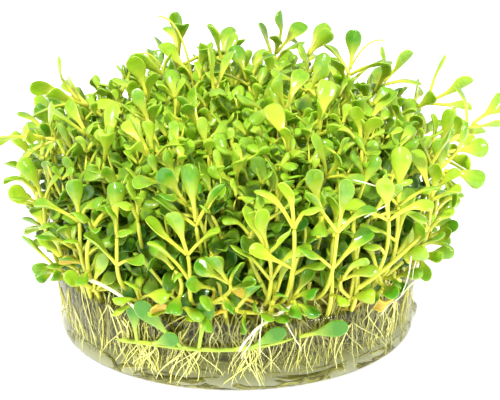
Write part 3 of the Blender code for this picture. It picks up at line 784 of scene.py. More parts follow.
def outward(point):
    """The direction square to the cushion's form, taken as an ellipsoid."""
    half = CUSHION_RISE if point.z > CUSHION_MID_Z else CUSHION_DROP
    return Vector((point.x / CUSHION_R**2, point.y / CUSHION_R**2,
                   (point.z - CUSHION_MID_Z) / half**2)).normalized()


def strayed(way, share, draw):
    """A direction turned at random by up to a share of its length."""
    return (way + share * Vector([draw.uniform(-1, 1) for _ in range(3)])).normalized()


def rooted_line(end, way, inward):
    """A stem's line from the root mat to its end, which it reaches along way."""
    root = Vector((end.x * inward, end.y * inward, ROOTED_Z))
    rise = (end - root).length
    return bezier(root, root + UP * UPRIGHT_SHARE * rise, end - way * LEANING_SHARE * rise, end)


def from_middle(spot, share):
    """A spot on the cushion moved to a share of its way from the cushion's middle."""
    return Vector((spot.x * share, spot.y * share, CUSHION_MID_Z + (spot.z - CUSHION_MID_Z) * share))


def grow_cushion_stem(growth, spot, draw, tone):
    """One crowded stem with its pairs of small dark leaves."""
    end = from_middle(spot, draw.uniform(*CUSHION_END_DEPTH))
    way = strayed(outward(spot) * 0.8 + UP * 0.45, 0.35, draw)
    line = rooted_line(end, way, CUSHION_INWARD)
    draw_stem(growth, line[::4], CUSHION_STEM_HALF, taper=0.8, tone=tone, along=0.1, sides=THIN_STEM_SIDES)
    length = (line[-1] - line[-2]).length
    step = max(1, round(CUSHION_NODE_SPACING / max(length, 0.1 * MM)))
    turn = draw.uniform(0, math.pi)
    for number in range(CUSHION_NODES):
        node = LINE_STEPS - 1 - number * step
        if node < LINE_STEPS // 4:
            break
        turn += math.pi / 2 + draw.uniform(-CUSHION_STRAY, CUSHION_STRAY)
        for side in (turn, turn + math.pi):
            leaf = drawn_leaf(line, node, side, CUSHION_STRAY, CUSHION_LEAF, draw)
            leaf_tone = strayed_tone(tone, CUSHION_TONE_STRAY, draw)
            cup = draw.uniform(-0.7, 0.5)
            draw_small_leaf(growth, leaf, leaf_tone, cup, twist=draw.uniform(-1.3, 1.3))


def draw_shoot(growth, shoot, tone, draw, sides=LEAF_FACE_SIDES):
    """A planned shoot with a round stem down to the roots, and its leaves."""
    draw_stem(growth, shoot.line[::2], STEM_HALF, taper=0.8, tone=tone, along=0.18)
    for leaf in [*sum(shoot.leaves.values(), []), shoot.end_leaf]:
        leaf_tone = strayed_tone(tone, SHOOT_TONE_STRAY, draw)
        cup = draw.choice((draw.uniform(-0.75, -0.2), draw.uniform(0.15, 0.6)))
        curl = draw.uniform(0.1, 0.8) if cup < 0 else draw.uniform(-0.5, 0.3)
        twist = draw.uniform(-0.4, 0.4)
        draw_leaf(growth, leaf, leaf_tone, cup, twist, sides, curl)


def clothe(shoot, crowd, draw):
    """Adds small leaves all along a shoot's stem, wherever there is room."""
    turn = draw.uniform(0, math.pi)
    for node in range(LINE_STEPS - LOW_LEAF_ENDS, LOW_LEAF_ENDS, -LOW_LEAF_STEP):
        if shoot.line[node].z < LOW_LEAF_Z:
            continue
        turn += math.pi / 2
        for way in (turn, turn + math.pi):
            for _ in range(LOW_LEAF_TRIES):
                leaf = drawn_leaf(shoot.line, node, way, LOW_LEAF_STRAY, LOW_LEAF, draw)
                balls = leaf.balls(STALK_STEPS)
                if balls[:, 2].min() > LOW_LEAF_Z and crowd.clear_of(balls):
                    shoot.leaves.setdefault(node, []).append(leaf)
                    crowd.add(balls)
                    break


def leafy_shoot(line, crowd, size, draw):
    """A small shoot along a line, or None where its end leaf has no room."""
    ahead = ahead_at(line, LINE_STEPS)
    turn = draw.uniform(0, math.pi)
    sizes = [size * length for length in in_mm(draw, END_STALK, END_BLADE, END_HALF_WIDTH)]
    bend = math.radians(draw.uniform(*END_BEND))
    leaf = Leaf(line[-1], ahead, side_of(ahead, turn), 0.0, bend, *sizes)
    if not crowd.clear_of(leaf.balls(LOW_STALK_STEPS)):
        return None
    shoot = Shoot(line, LINE_STEPS // 2, leaf)
    sides = grow_sides(shoot, crowd, turn, draw)
    crowd.add(shoot.balls())
    crowd.add(sides)
    return shoot


def plan_more_shoots(crowd, count, draw):
    """Short shoots that rise out of the cushion between the long ones, wherever there is room."""
    found = []
    for spot in cushion_spots(count, MORE_SHOOT_LOWEST, CUSHION_TOP_Z):
        for _ in range(MORE_SHOOT_TRIES):
            end = spot + outward(spot) * draw.uniform(*MORE_SHOOT_RISE) * MM
            way = strayed(outward(spot) * 0.5 + UP * 0.7, 0.45, draw)
            line = rooted_line(end, way, MORE_SHOOT_INWARD)
            shoot = leafy_shoot(line, crowd, MORE_SHOOT_SIZE, draw)
            if shoot:
                found.append(shoot)
                break
    return found


def plan_rim_shoots(crowd, count, draw):
    """Slender shoots that rise from the gel's rim and stand before the cushion."""
    found = []
    for k in range(count):
        for _ in range(RIM_SHOOT_TRIES):
            angle = 2 * math.pi * (k + draw.uniform(-0.5, 0.5)) / count
            z = draw.uniform(*RIM_SHOOT_END_Z) * MM
            end = on_circle(cushion_r(z) + draw.uniform(*RIM_SHOOT_OFF) * MM, angle, z)
            foot_angle = angle + draw.gauss(0, RIM_SHOOT_SKEW)
            root = on_circle(draw.uniform(*RIM_SHOOT_ROOT_R) * MM, foot_angle, RIM_SHOOT_ROOT_Z)
            out = Vector((end.x, end.y, 0)).normalized()
            way = strayed(UP * 0.8 + out * 0.3, 0.6, draw)
            rise = (end - root).length
            line = bezier(root, root + (UP * 0.4 + out * 0.25) * rise, end - way * 0.35 * rise, end)
            shoot = leafy_shoot(line, crowd, RIM_SHOOT_SIZE, draw)
            if shoot:
                found.append(shoot)
                break
    return found


def wandering(start, way, length, steps, waver, sink, draw, hold=None):
    """A root's line that wanders from its start, and is drawn downwards by sink at each step."""
    point, way = Vector(start), Vector(way).normalized()
    line = [point.copy()]
    for _ in range(steps):
        way = strayed(way + Vector((0, 0, -sink)), waver, draw)
        point = point + way * length / steps
        if hold:
            point = hold(point)
        line.append(point.copy())
    return line


def moved_to(point, wanted, z):
    """The place at another distance from the gel's axis and another height, in the same direction."""
    radius = math.hypot(point.x, point.y)
    return Vector((point.x * wanted / radius, point.y * wanted / radius, z))


def hold_between(least, most, low):
    """Keeps a root within a ring about the gel's axis and above a level."""
    def hold(point):
        wanted = min(most, max(least, math.hypot(point.x, point.y)))
        return moved_to(point, wanted, max(low, point.z))
    return hold


def hanging_root(start, low, swing, draw):
    """A root's line that leaves its start aslant and then hangs down in a smooth curve."""
    angle = math.atan2(start.y, start.x)
    end = on_circle(math.hypot(start.x, start.y), angle + swing, max(LEAST_ROOT_Z, low))
    drop = start.z - end.z
    aslant = start.cross(UP).normalized() * draw.gauss(0, 0.3) * drop
    return bezier(start, start - UP * 0.3 * drop - aslant, end + UP * 0.4 * drop - 0.5 * aslant, end)


def hanging_in(point):
    """Keeps a root within the gel's wall, and above the rim no further out than it may start."""
    in_gel = point.z < GEL_RIM_Z + MM
    most = gel_wall_r(point.z) - ROOT_MARGIN if in_gel else HANGING_ROOT_R[1] * MM
    wanted = min(max(math.hypot(point.x, point.y), LEAST_HANGING_R), most)
    return moved_to(point, wanted, max(LEAST_ROOT_Z, point.z))


def hanging_on(point, off=FACE_ROOT_OFF):
    """Lays a root on the outside of the gel's wall, a little off it."""
    z = max(ROOT_MARGIN, point.z)
    return moved_to(point, (gel_wall_r(z) if z > WAIST_Z else GEL_FOOT_R) + off, z)


def colour(text):
    """Linear colour with alpha from an sRGB hex value."""
    made = []
    for k in (1, 3, 5):
        value = int(text[k : k + 2], 16) / 255
        made.append(value / 12.92 if value <= 0.04045 else ((value + 0.055) / 1.055) ** 2.4)
    return (*made, 1.0)


def add(tree, kind, inputs=(), out=0, **settings):
    """Adds a node with its settings, sets or links its inputs, and gives the output to link on."""
    made = tree.nodes.new(kind)
    for name, value in settings.items():
        setattr(made, name, value)
    for socket, value in dict(inputs).items():
        if isinstance(value, bpy.types.NodeSocket):
            tree.links.new(value, made.inputs[socket])
        else:
            made.inputs[socket].default_value = value
    return made.outputs[out] if made.outputs else None


def new_material(name):
    """An empty material, its node tree, and the piece's own coordinates in metres."""
    made = bpy.data.materials.new(name)
    made.use_nodes = True
    made.node_tree.nodes.clear()
    return made, made.node_tree, add(made.node_tree, "ShaderNodeTexCoord", out="Object")


def leaf_skin(name, old, young, rim, old_stalk, young_stalk, roughness, wetness):
    """Living leaf: fleshy, waxy and wet, so light shines softly through it and glints on top. Its margins are
    painted lighter, towards the rim colour, as a painted glow of light through the thin edges.
    """
    made, tree, place = new_material(name)
    told = [add(tree, "ShaderNodeAttribute", out="Fac", attribute_name=label) for label in LABELS]
    tone, along, margin = told
    mottle = add(tree, "ShaderNodeTexNoise", {"Vector": place, "Scale": 1000 / MOTTLE_MM})
    shifted = add(tree, "ShaderNodeMath", {0: mottle, 1: -0.5}, operation="ADD")
    uneven = add(tree, "ShaderNodeMath", {0: shifted, 1: 0.5, 2: tone}, operation="MULTIPLY_ADD")
    age = add(tree, "ShaderNodeMapRange", {"Value": uneven})
    blade = add(tree, "ShaderNodeMix", {0: age, 6: old, 7: young}, **BLEND)
    # Painted light: towards its margins the blade is mixed with the rim colour, a painted glow standing for
    # light that shines through the thin edges.
    painted_margin_glow = add(tree, "ShaderNodeMapRange", {"Value": margin, "From Min": 0.7, "To Max": 0.45})
    blade = add(tree, "ShaderNodeMix", {0: painted_margin_glow, 6: blade, 7: rim}, **BLEND)
    stalk = add(tree, "ShaderNodeMix", {0: age, 6: old_stalk, 7: young_stalk}, **BLEND)
    outer = add(tree, "ShaderNodeMapRange", {"Value": along, "From Min": 0.3, "From Max": 0.78})
    base = add(tree, "ShaderNodeMix", {0: outer, 6: stalk, 7: blade}, **BLEND)
    wrinkles = add(tree, "ShaderNodeTexNoise", {"Vector": place, "Scale": 1000 / WRINKLE_MM, "Detail": 1.0})
    bump = add(tree, "ShaderNodeBump", {"Strength": 0.45, "Distance": 0.25 * MM, "Height": wrinkles})
    shader = add(tree, "ShaderNodeBsdfPrincipled", {
        "Base Color": base,
        "Roughness": roughness,
        "IOR": 1.45,
        "Subsurface Weight": 0.35,
        "Subsurface Radius": (0.8, 1.0, 0.25),
        "Subsurface Scale": 0.8 * MM,
        "Specular IOR Level": 0.3,
        "Coat Weight": wetness,
        "Coat Roughness": 0.05,
        "Normal": bump,
        "Coat Normal": bump,
    })
    add(tree, "ShaderNodeOutputMaterial", {"Surface": shader})
    return made


def root_skin(name, pale, dark, roughness):
    """Living or old root: a soft, damp thread, paler or browner from root to root."""
    made, tree, place = new_material(name)
    tone = add(tree, "ShaderNodeAttribute", out="Fac", attribute_name="tone")
    mottle = add(tree, "ShaderNodeTexNoise", {"Vector": place, "Scale": 1000 / ROOT_MOTTLE_MM})
    uneven = add(tree, "ShaderNodeMath", {0: mottle, 1: 0.4, 2: tone}, operation="MULTIPLY_ADD")
    share = add(tree, "ShaderNodeMapRange", {"Value": uneven, "From Min": 0.2, "From Max": 1.2})
    base = add(tree, "ShaderNodeMix", {0: share, 6: dark, 7: pale}, **BLEND)
    shader = add(tree, "ShaderNodeBsdfPrincipled", {
        "Base Color": base,
        "Roughness": roughness,
        "IOR": 1.4,
        "Subsurface Weight": 0.3,
        "Subsurface Radius": (1.0, 0.9, 0.5),
        "Subsurface Scale": 0.5 * MM,
    })
    add(tree, "ShaderNodeOutputMaterial", {"Surface": shader})
    return made


def felt_of_roots(name, pale, dark):
    """Matted roots and old stems: matt threads that run mostly up and down, in olive and brown."""
    made, tree, place = new_material(name)
    drawn_out = add(tree, "ShaderNodeMapping", {"Vector": place, "Scale": (1, 1, 0.25)})
    threads = add(tree, "ShaderNodeTexNoise", {"Vector": drawn_out, "Scale": 1000 / THREAD_MM, "Detail": 3.0})
    share = add(tree, "ShaderNodeMapRange", {"Value": threads, "From Min": 0.35, "From Max": 0.65})
    shade = add(tree, "ShaderNodeMix", {0: share, 6: dark, 7: pale}, **BLEND)
    noise = add(tree, "ShaderNodeTexNoise", {"Vector": place, "Scale": 1000 / PATCH_MM})
    spans = {"Value": noise, "From Min": 0.3, "From Max": 0.7, "To Min": 0.25}
    patches = add(tree, "ShaderNodeMapRange", spans)
    base = add(tree, "ShaderNodeMix", {0: patches, 6: dark, 7: shade}, **BLEND)
    bump = add(tree, "ShaderNodeBump", {"Strength": 0.8, "Distance": 0.5 * MM, "Height": threads})
    inputs = {"Base Color": base, "Roughness": 0.6, "IOR": 1.4, "Normal": bump}
    shader = add(tree, "ShaderNodeBsdfPrincipled", inputs)
    add(tree, "ShaderNodeOutputMaterial", {"Surface": shader})
    return made


def nutrient_gel(name, tint, density):
    """Agar gel, cast: clear as jelly and wet, and slightly olive through its depth."""
    made, tree, place = new_material(name)
    noise = add(tree, "ShaderNodeTexNoise", {"Vector": place, "Scale": 1000 / RIPPLE_MM})
    ripple = add(tree, "ShaderNodeBump", {"Strength": 0.15, "Distance": 0.2 * MM, "Height": noise})
    shader = add(tree, "ShaderNodeBsdfPrincipled", {
        "Base Color": colour("#FFFFFF"),
        "Transmission Weight": 1.0,
        "Roughness": 0.03,
        "IOR": 1.335,
        "Normal": ripple,
    })
    depth = add(tree, "ShaderNodeVolumeAbsorption", {"Color": tint, "Density": density})
    add(tree, "ShaderNodeOutputMaterial", {"Surface": shader, "Volume": depth})
    return made


def studio_board(name, shade):
    """White studio board, lit from below: plain, matt and so bright that its front shows no shadow."""
    made, tree, place = new_material(name)
    grain = add(tree, "ShaderNodeTexNoise", {"Vector": place, "Scale": 1000 / GRAIN_MM})
    shader = add(tree, "ShaderNodeBsdfPrincipled", {
        "Base Color": add(tree, "ShaderNodeMix", {0: grain, 6: shade, 7: colour("#FFFFFF")}, **BLEND),
        "Roughness": 0.9,
        "Emission Color": colour("#FFFFFF"),
        "Emission Strength": 0.5,
    })
    add(tree, "ShaderNodeOutputMaterial", {"Surface": shader})
    return made


def colour_setting(name, description, text):
    return FloatVectorProperty(name=name, description=description, default=colour(text),
                               subtype="COLOR", size=4, min=0, max=1)


def number_setting(name, description, default, most, least=0):
    return IntProperty(name=name, description=description, default=default, min=least, max=most)


class GlossostigmaSettings(bpy.types.PropertyGroup):
    """Numbers and colours that a user would change."""

    gel_tint: colour_setting("Gel tint", "What a deep layer of the gel lets through", "#C6CA52")
    gel_depth: FloatProperty(
        name="Gel density", description="How strongly the gel takes on its tint, per metre",
        min=0, max=400, default=155.0)
    old_leaf: colour_setting("Old leaf", "The darkest green, low in the cushion", "#23560A")
    grown_leaf: colour_setting("Grown leaf", "The full green of the cushion's upper leaves", "#9BC928")
    shoot_leaf: colour_setting("Shoot leaf", "Green of the long shoots' leaves", "#468C10")
    young_leaf: colour_setting("Young leaf", "Yellow-green of the youngest leaves", "#A9CC2C")
    young_stalk: colour_setting("Young stalk", "Yellow of the long shoots' stems", "#D9DA48")
    old_stalk: colour_setting("Old stalk", "Green of the cushion's stems", "#7FA82C")
    pale_root: colour_setting("Pale root", "Cream of the living roots", "#F0EC9A")
    dark_root: colour_setting("Old root", "Olive brown of the old roots and stems", "#A8A34E")
    withered_leaf: colour_setting("Withered leaf", "Yellow of the leaves that died near the gel", "#E3C93C")
    white_root: colour_setting("White root", "White of the roots that hang in the air", "#EDEBD2")
    cushion_stems: number_setting(
        "Cushion stems", "How many short stems crowd in the cushion", 440, 900, least=10)
    more_shoots: number_setting(
        "More shoots", "Places where a shorter shoot is tried between the long ones", 75, 400)
    rim_shoots: number_setting("Rim shoots", "Slender shoots tried round the gel's rim", 78, 200)
    bare_stems: number_setting("Bare stems", "Upright yellow stems among the cushion's leaves", 200, 600)
    hanging_roots: number_setting(
        "Hanging roots", "Long thin roots that hang down in and on the gel's wall", 700, 1500)
    root_groups: number_setting("Root groups", "Groups of roots that fan down round the gel", 120, 400)
    view_distance: FloatProperty(
        name="Camera distance", description="From the camera to its aim", unit="LENGTH", min=0.1, max=2,
        default=0.35)


def bulge(turn, at, high, spread):
    """How far something stands out at a side of the gel: most at one turn, and less away from it."""
    off = (turn - at + math.pi) % math.tau - math.pi
    return high * math.exp(-((off / spread) ** 2))


def rim_wave(turn):
    return MM * sum(high * math.sin(often * turn + phase) for often, high, phase in RIM_WAVES)


def gel_profile(turn):
    """The radius and height of the gel's rings at one side, from its flat base up to its top."""
    flap = bulge(turn, FLAP_AT, FLAP_OUT, FLAP_SPREAD)
    lip = sum(bulge(turn, *place) for place in LIPS)
    foot = GEL_FOOT_R + flap
    rim_z = GEL_RIM_Z + rim_wave(turn)
    return (
        (GEL_FLAT_R * 0.6, 0.0),
        (GEL_FLAT_R - 0.3 * MM, 0.0),
        (GEL_FLAT_R, 0.0),
        (foot - 0.5 * MM, 0.35 * MM),
        (foot, FOOT_LOW_Z),
        (foot, FOOT_HIGH_Z),
        (GEL_FOOT_R - 0.3 * MM + 0.6 * flap, 2.8 * MM),
        (GEL_WAIST_R, WAIST_Z),
        (gel_wall_r(9 * MM), 9 * MM),
        (GEL_RIM_R, rim_z - RIM_DROP + lip),
        (GEL_RIM_R - 0.25 * MM, rim_z - 0.2 * MM + lip),
        (GEL_RIM_R - RIM_ROUNDING, rim_z + 0.9 * lip),
        (GEL_RIM_R - 2 * RIM_ROUNDING, rim_z),
        (GEL_RIM_R * 0.8, GEL_RIM_Z - 0.4 * MM + 0.6 * rim_wave(2 * turn)),
        (GEL_RIM_R * 0.4, GEL_TOP_Z),
    )


class GLOSSO_OT_gel(bpy.types.Operator):
    """Casts the clear cake of gel, with its flared foot, uneven rim and small flap"""

    bl_idname = "glosso.gel"
    bl_label = "Cast the gel"

    def execute(self, context):
        settings = context.scene.glosso
        turns = [math.tau * k / GEL_SIDES for k in range(GEL_SIDES)]
        sides = [[on_circle(radius, turn, z) for radius, z in gel_profile(turn)] for turn in turns]
        finish = nutrient_gel("agar_gel", settings.gel_tint, settings.gel_depth)
        cake = body_of_rings("gel_cake", list(zip(*sides)), 0, GEL_TOP_Z, finish)
        placed(cake, "gel", "gel")
        return {"FINISHED"}


def felt_ring(row, draw):
    """A ring of the root mat's side, with ridges, lumps and a narrower foot."""
    rise = (FELT_HIGH_Z - FELT_LOW_Z) * row / (FELT_ROWS - 1)
    z = FELT_LOW_Z + rise
    middle = FELT_R + rise * FELT_SLOPE - FELT_FOOT * max(0, 1 - row / FELT_FOOT_ROWS)
    ring = []
    for k in range(FELT_SIDES):
        turn = math.tau * k / FELT_SIDES
        lumps = MM * (math.sin(9 * turn + 0.6 * z / MM) + 0.7 * math.sin(23 * turn + 1))
        ring.append(on_circle(middle + lumps + draw.uniform(-FELT_UNEVEN, FELT_UNEVEN), turn, z))
    return ring


def wind_root(growth, start, way, kind, draw):
    """Winds a loose root on from its start, within a ring about the gel's axis."""
    length, steps, waver, sink, ring, half, tone = kind
    line = wandering(start, way, draw.uniform(*length) * MM, steps, waver, sink, draw, hold_between(*ring))
    draw_root(growth, line, draw.uniform(*half) * MM, taper=0.5, tone=draw.uniform(*tone))


class GLOSSO_OT_root_mat(bpy.types.Operator):
    """Felts the old roots and stems in the gel's middle, and winds loose ones round them"""

    bl_idname = "glosso.root_mat"
    bl_label = "Felt the root mat"

    def execute(self, context):
        settings = context.scene.glosso
        draw = random.Random(21)
        finish = felt_of_roots("matted_roots", colour("#D3D168"), colour("#92912E"))
        rings = [felt_ring(row, draw) for row in range(FELT_ROWS)]
        felt = body_of_rings("root_felt", rings, FELT_LOW_Z, FELT_HIGH_Z, finish)
        placed(felt, "root", "root_mat")
        tangle = Growth()
        for _ in range(TANGLE_ROOTS):
            turn = draw.uniform(0, math.tau)
            z = draw.uniform(*TANGLE_Z) * MM
            start = on_circle(draw.uniform(*TANGLE_R) * MM, turn, z)
            way = (start.cross(UP) * draw.choice((-1, 1))).normalized()
            way.z += draw.uniform(*TANGLE_SLOPE)
            wind_root(tangle, start, way, TANGLE_ROOT, draw)
        for _ in range(FLOOR_ROOTS):
            start = on_circle(draw.uniform(*FLOOR_ROOT_R) * MM, draw.uniform(0, math.tau), FLOOR_ROOT_Z)
            way = start.cross(UP).normalized() * draw.choice((-1, 1))
            wind_root(tangle, start, way, FLOOR_ROOT, draw)
        finish = root_skin("old_roots", settings.pale_root, settings.dark_root, roughness=0.5)
        tangle.become("root_tangle", finish, "root")
        return {"FINISHED"}


def hang_root(growths, on_face, line, half, taper, tone):
    """Draws a hanging root into the first growth, in the gel, or into the second, on its face."""
    hold = hanging_on if on_face else hanging_in
    draw_root(growths[on_face], [hold(point) for point in line[::ROOT_STEP]], half, taper, tone)


class GLOSSO_OT_roots(bpy.types.Operator):
    """Fans pale roots down in and along the gel's wall"""

    bl_idname = "glosso.roots"
    bl_label = "Fan out the roots"

    def execute(self, context):
        settings = context.scene.glosso
        draw = random.Random(22)
        finish = root_skin("living_roots", settings.pale_root, colour("#CDC95C"), roughness=0.4)
        growths = (Growth(), Growth())
        for k in range(settings.root_groups):
            turn = math.tau * (k + draw.uniform(-0.4, 0.4)) / settings.root_groups
            z = draw.uniform(*GROUP_Z) * MM
            on_face = draw.random() >= GROUPS_IN_GEL
            off = GROUP_OFF if on_face else -draw.uniform(*GROUP_DEPTH) * MM
            node = on_circle(gel_wall_r(z) + off, turn, z)
            tone = draw.uniform(0.2, 1.0)
            for _ in range(draw.randint(*GROUP_ROOTS)):
                line = hanging_root(node, z - draw.uniform(*GROUP_FALL) * MM, draw.gauss(0, 0.09), draw)
                half = draw.uniform(*GROUP_ROOT_HALF) * MM
                hang_root(growths, on_face, line, half, taper=0.45, tone=tone)
        for k in range(settings.hanging_roots):
            z = draw.uniform(*HANGING_ROOT_TOP) * MM
            start = on_circle(draw.uniform(*HANGING_ROOT_R) * MM, k * GOLDEN_ANGLE, z)
            line = hanging_root(start, draw.uniform(*HANGING_ROOT_END) * MM, draw.gauss(0, 0.06), draw)
            on_face = z < GEL_RIM_Z - RIM_DROP and draw.random() < HANGING_ON_FACE
            half = draw.uniform(*HANGING_ROOT_HALF) * MM
            hang_root(growths, on_face, line, half, taper=0.5, tone=draw.random())
        for name, growth in zip(("roots_in_gel", "roots_on_gel"), growths):
            growth.become(name, finish, "root")
        return {"FINISHED"}


class GLOSSO_OT_cushion(bpy.types.Operator):
    """Crowds short stems with small dark leaves over the gel"""

    bl_idname = "glosso.cushion"
    bl_label = "Crowd the cushion"

    def execute(self, context):
        settings = context.scene.glosso
        draw = random.Random(23)
        # The third colour is painted onto the leaves' margins as a glow of light through their thin edges.
        finish = leaf_skin("cushion_leaves", settings.old_leaf, settings.grown_leaf, colour("#8CC428"),
                           settings.old_stalk, settings.young_stalk, roughness=0.32, wetness=0.45)
        growths = [Growth() for _ in range(SECTORS)]
        for spot in cushion_spots(settings.cushion_stems, CUSHION_LOWEST, CUSHION_TOP_Z):
            turn = math.atan2(spot.y, spot.x) % math.tau
            growth = growths[int(turn / math.tau * SECTORS) % SECTORS]
            tone = 0.95 * max(0, cushion_reach(spot.z)) ** 1.4 + draw.uniform(0, 0.25)
            grow_cushion_stem(growth, spot, draw, tone)
        for number, growth in enumerate(growths, 1):
            growth.become(f"cushion_leaves_{number}", finish, "cushion_leaf", "leaf_cushion")
        return {"FINISHED"}


def lay_stem(growth, half, points, taper, tone, along):
    """A stem along a curve from the first of four points to the last, drawn towards the others."""
    line = bezier(*[Vector(point) * MM for point in points])
    draw_stem(growth, line[::2], half * MM, taper, tone, along)


def grow_upright_stem(growth, spot, draw):
    """A thin yellow stem with a pair of tiny leaves at its tip."""
    end = from_middle(spot, draw.uniform(*BARE_STEM_RISE))
    way = strayed(outward(spot) * 0.35 + UP, 0.4, draw)
    line = rooted_line(end, way, BARE_STEM_INWARD)
    tone = draw.uniform(0.4, 1.0)
    half = draw.uniform(*BARE_STEM_HALF) * MM
    draw_stem(growth, line[::4], half, taper=0.7, tone=tone, along=0.1, sides=THIN_STEM_SIDES)
    turn = draw.uniform(0, math.pi)
    ahead = ahead_at(line, LINE_STEPS)
    for side in (turn, turn + math.pi):
        sizes = in_mm(draw, *TIP_LEAF)
        spread = draw.uniform(*TIP_LEAF_SPREAD)
        leaf = Leaf(end, ahead, side_of(ahead, side), spread, TIP_LEAF_BEND, *sizes)
        cup = draw.uniform(-0.5, 0.5)
        draw_small_leaf(growth, leaf, tone, cup, twist=draw.uniform(-0.7, 0.7))


class GLOSSO_OT_shoots(bpy.types.Operator):
    """Sends up the long shoots where their solids stand, and shorter ones between them"""

    bl_idname = "glosso.shoots"
    bl_label = "Send up the shoots"

    def execute(self, context):
        settings = context.scene.glosso
        draw = random.Random(24)
        # The third colour is painted onto the leaves' margins as a glow of light through their thin edges.
        finish = leaf_skin("shoot_leaves", settings.shoot_leaf, settings.young_leaf, settings.young_stalk,
                           settings.young_stalk, settings.young_stalk, roughness=0.3, wetness=0.6)
        crowd = Crowd()
        for number, shoot in enumerate(plan_shoots(), 1):
            growth = Growth()
            draw_shoot(growth, shoot, draw.uniform(0.1, 0.95), draw)
            node = f"shoot_{number:02d}"
            growth.become(f"{node}_grown", finish, "shoot_leaf", node)
            crowd.add(shoot.balls())
            for leaf in sum(shoot.leaves.values(), []):
                crowd.add(leaf.balls(BARE_FOOT_STEPS))
        short, slender, upright = Growth(), Growth(), Growth()
        for shoot in plan_more_shoots(crowd, settings.more_shoots, draw):
            draw_shoot(short, shoot, draw.uniform(0.25, 1.0), draw, CUSHION_LEAF_SIDES)
        short.become("short_shoots", finish, "shoot_leaf")
        for shoot in plan_rim_shoots(crowd, settings.rim_shoots, draw):
            clothe(shoot, crowd, draw)
            draw_shoot(slender, shoot, draw.uniform(0.05, 0.9), draw, CUSHION_LEAF_SIDES)
        slender.become("rim_shoots", finish, "shoot_leaf")
        for half, points in LEANING_STEMS:
            lay_stem(upright, half, points, taper=0.7, tone=0.8, along=0.1)
        for spot in cushion_spots(settings.bare_stems, BARE_STEM_LOWEST, CUSHION_TOP_Z):
            grow_upright_stem(upright, spot, draw)
        upright.become("upright_stems", finish, "shoot_leaf")
        return {"FINISHED"}


class GLOSSO_OT_withered(bpy.types.Operator):
    """Lays the withered leaves near the gel, and the white roots and pale stems over the front"""

    bl_idname = "glosso.withered"
    bl_label = "Lay withered leaves and white roots"

    def execute(self, context):
        settings = context.scene.glosso
        draw = random.Random(26)
        old, white = Growth(), Growth()
        for k in range(WITHERED_LEAVES):
            turn = k * GOLDEN_ANGLE + draw.uniform(-0.3, 0.3)
            start = on_circle(draw.uniform(*WITHERED_R) * MM, turn, draw.uniform(*WITHERED_Z) * MM)
            out = Vector((start.x, start.y, 0)).normalized()
            along = strayed(out.cross(UP) * draw.choice((-1, 1)) + 0.3 * out, 0.4, draw)
            side = side_of(along, draw.uniform(0, 6))
            bend = draw.uniform(*WITHERED_BEND)
            sizes = (WITHERED_STALK, *in_mm(draw, *WITHERED_BLADE))
            leaf = Leaf(start, along, side, WITHERED_SPREAD, bend, *sizes)
            tone = draw.random()
            cup = draw.uniform(-0.9, 0.9)
            draw_leaf(old, leaf, tone, cup, twist=draw.uniform(-1.2, 1.2), curl=1.0)
        # The third colour is painted onto the leaves' margins as a glow of light through their thin edges.
        finish = leaf_skin("withered_leaves", colour("#BE9C55"), settings.withered_leaf, colour("#E9D978"),
                           colour("#C6B04A"), settings.withered_leaf, roughness=0.45, wetness=0.25)
        old.become("withered_leaves", finish, "shoot_leaf")
        for start, end in WHITE_ROOTS:
            start, end = Vector(start) * MM, Vector(end) * MM
            way = end - start
            line = wandering(start, way, way.length, steps=12, waver=0.16, sink=0.0, draw=draw)
            draw_stem(white, line, WHITE_ROOT_HALF, taper=0.45, tone=draw.uniform(0.6, 1.0), along=0)
        for half, points in PALE_STEMS:
            lay_stem(white, half, points, taper=0.75, tone=draw.uniform(0.5, 0.9), along=0)
        finish = root_skin("white_roots", settings.white_root, colour("#E6E2A4"), roughness=0.35)
        white.become("white_roots", finish, "root")
        return {"FINISHED"}


class GLOSSO_OT_runner(bpy.types.Operator):
    """Lays the runner round the front of the gel, with a fan of roots at each node"""

    bl_idname = "glosso.runner"
    bl_label = "Lay the runner"

    def execute(self, context):
        settings = context.scene.glosso
        draw = random.Random(25)
        # The third colour is painted onto the leaves' margins as a glow of light through their thin edges.
        finish = leaf_skin("runner_leaves", colour("#4A8A10"), settings.shoot_leaf, settings.young_leaf,
                           colour("#9CC23A"), settings.young_stalk, roughness=0.32, wetness=0.5)
        line, leaves, end_leaf = plan_runner()
        growth, roots = Growth(), Growth()
        draw_stem(growth, line, STEM_HALF, taper=0.85, tone=0.3, along=0.1)
        for leaf in [*sum(leaves.values(), []), end_leaf]:
            tone = draw.uniform(0.1, 0.7)
            cup = draw.uniform(-0.3, 0.1)
            draw_leaf(growth, leaf, tone, cup, twist=draw.uniform(-0.2, 0.2))
        growth.become("runner_grown", finish, "shoot_leaf", "runner")
        for k in leaves:
            for _ in range(RUNNER_ROOTS):
                swing = draw.uniform(-0.16, 0.16)
                fall = min(draw.uniform(*RUNNER_ROOT_FALL) * MM, line[k].z)
                path = hanging_root(line[k], line[k].z - fall, swing, draw)
                held = [hanging_on(point, RUNNER_ROOT_OFF) for point in path[::ROOT_STEP]]
                half = draw.uniform(*RUNNER_ROOT_HALF) * MM
                draw_root(roots, held, half, taper=0.5, tone=draw.uniform(0.2, 0.9))
        finish = root_skin("runner_root_skin", settings.pale_root, colour("#D9DA62"), roughness=0.4)
        roots.become("runner_roots", finish, "root")
        return {"FINISHED"}


def soft_light(name, place, size, power):
    """A round light that aims at the plant."""
    lamp = bpy.data.lights.new(name, "AREA")
    lamp.shape = "DISK"
    lamp.size = size
    lamp.energy = power
    made = bpy.data.objects.new(name, lamp)
    made.location = place
    made.rotation_euler = (Vector(LIT) - Vector(place)).to_track_quat("-Z", "Y").to_euler()
    bpy.context.scene.collection.objects.link(made)


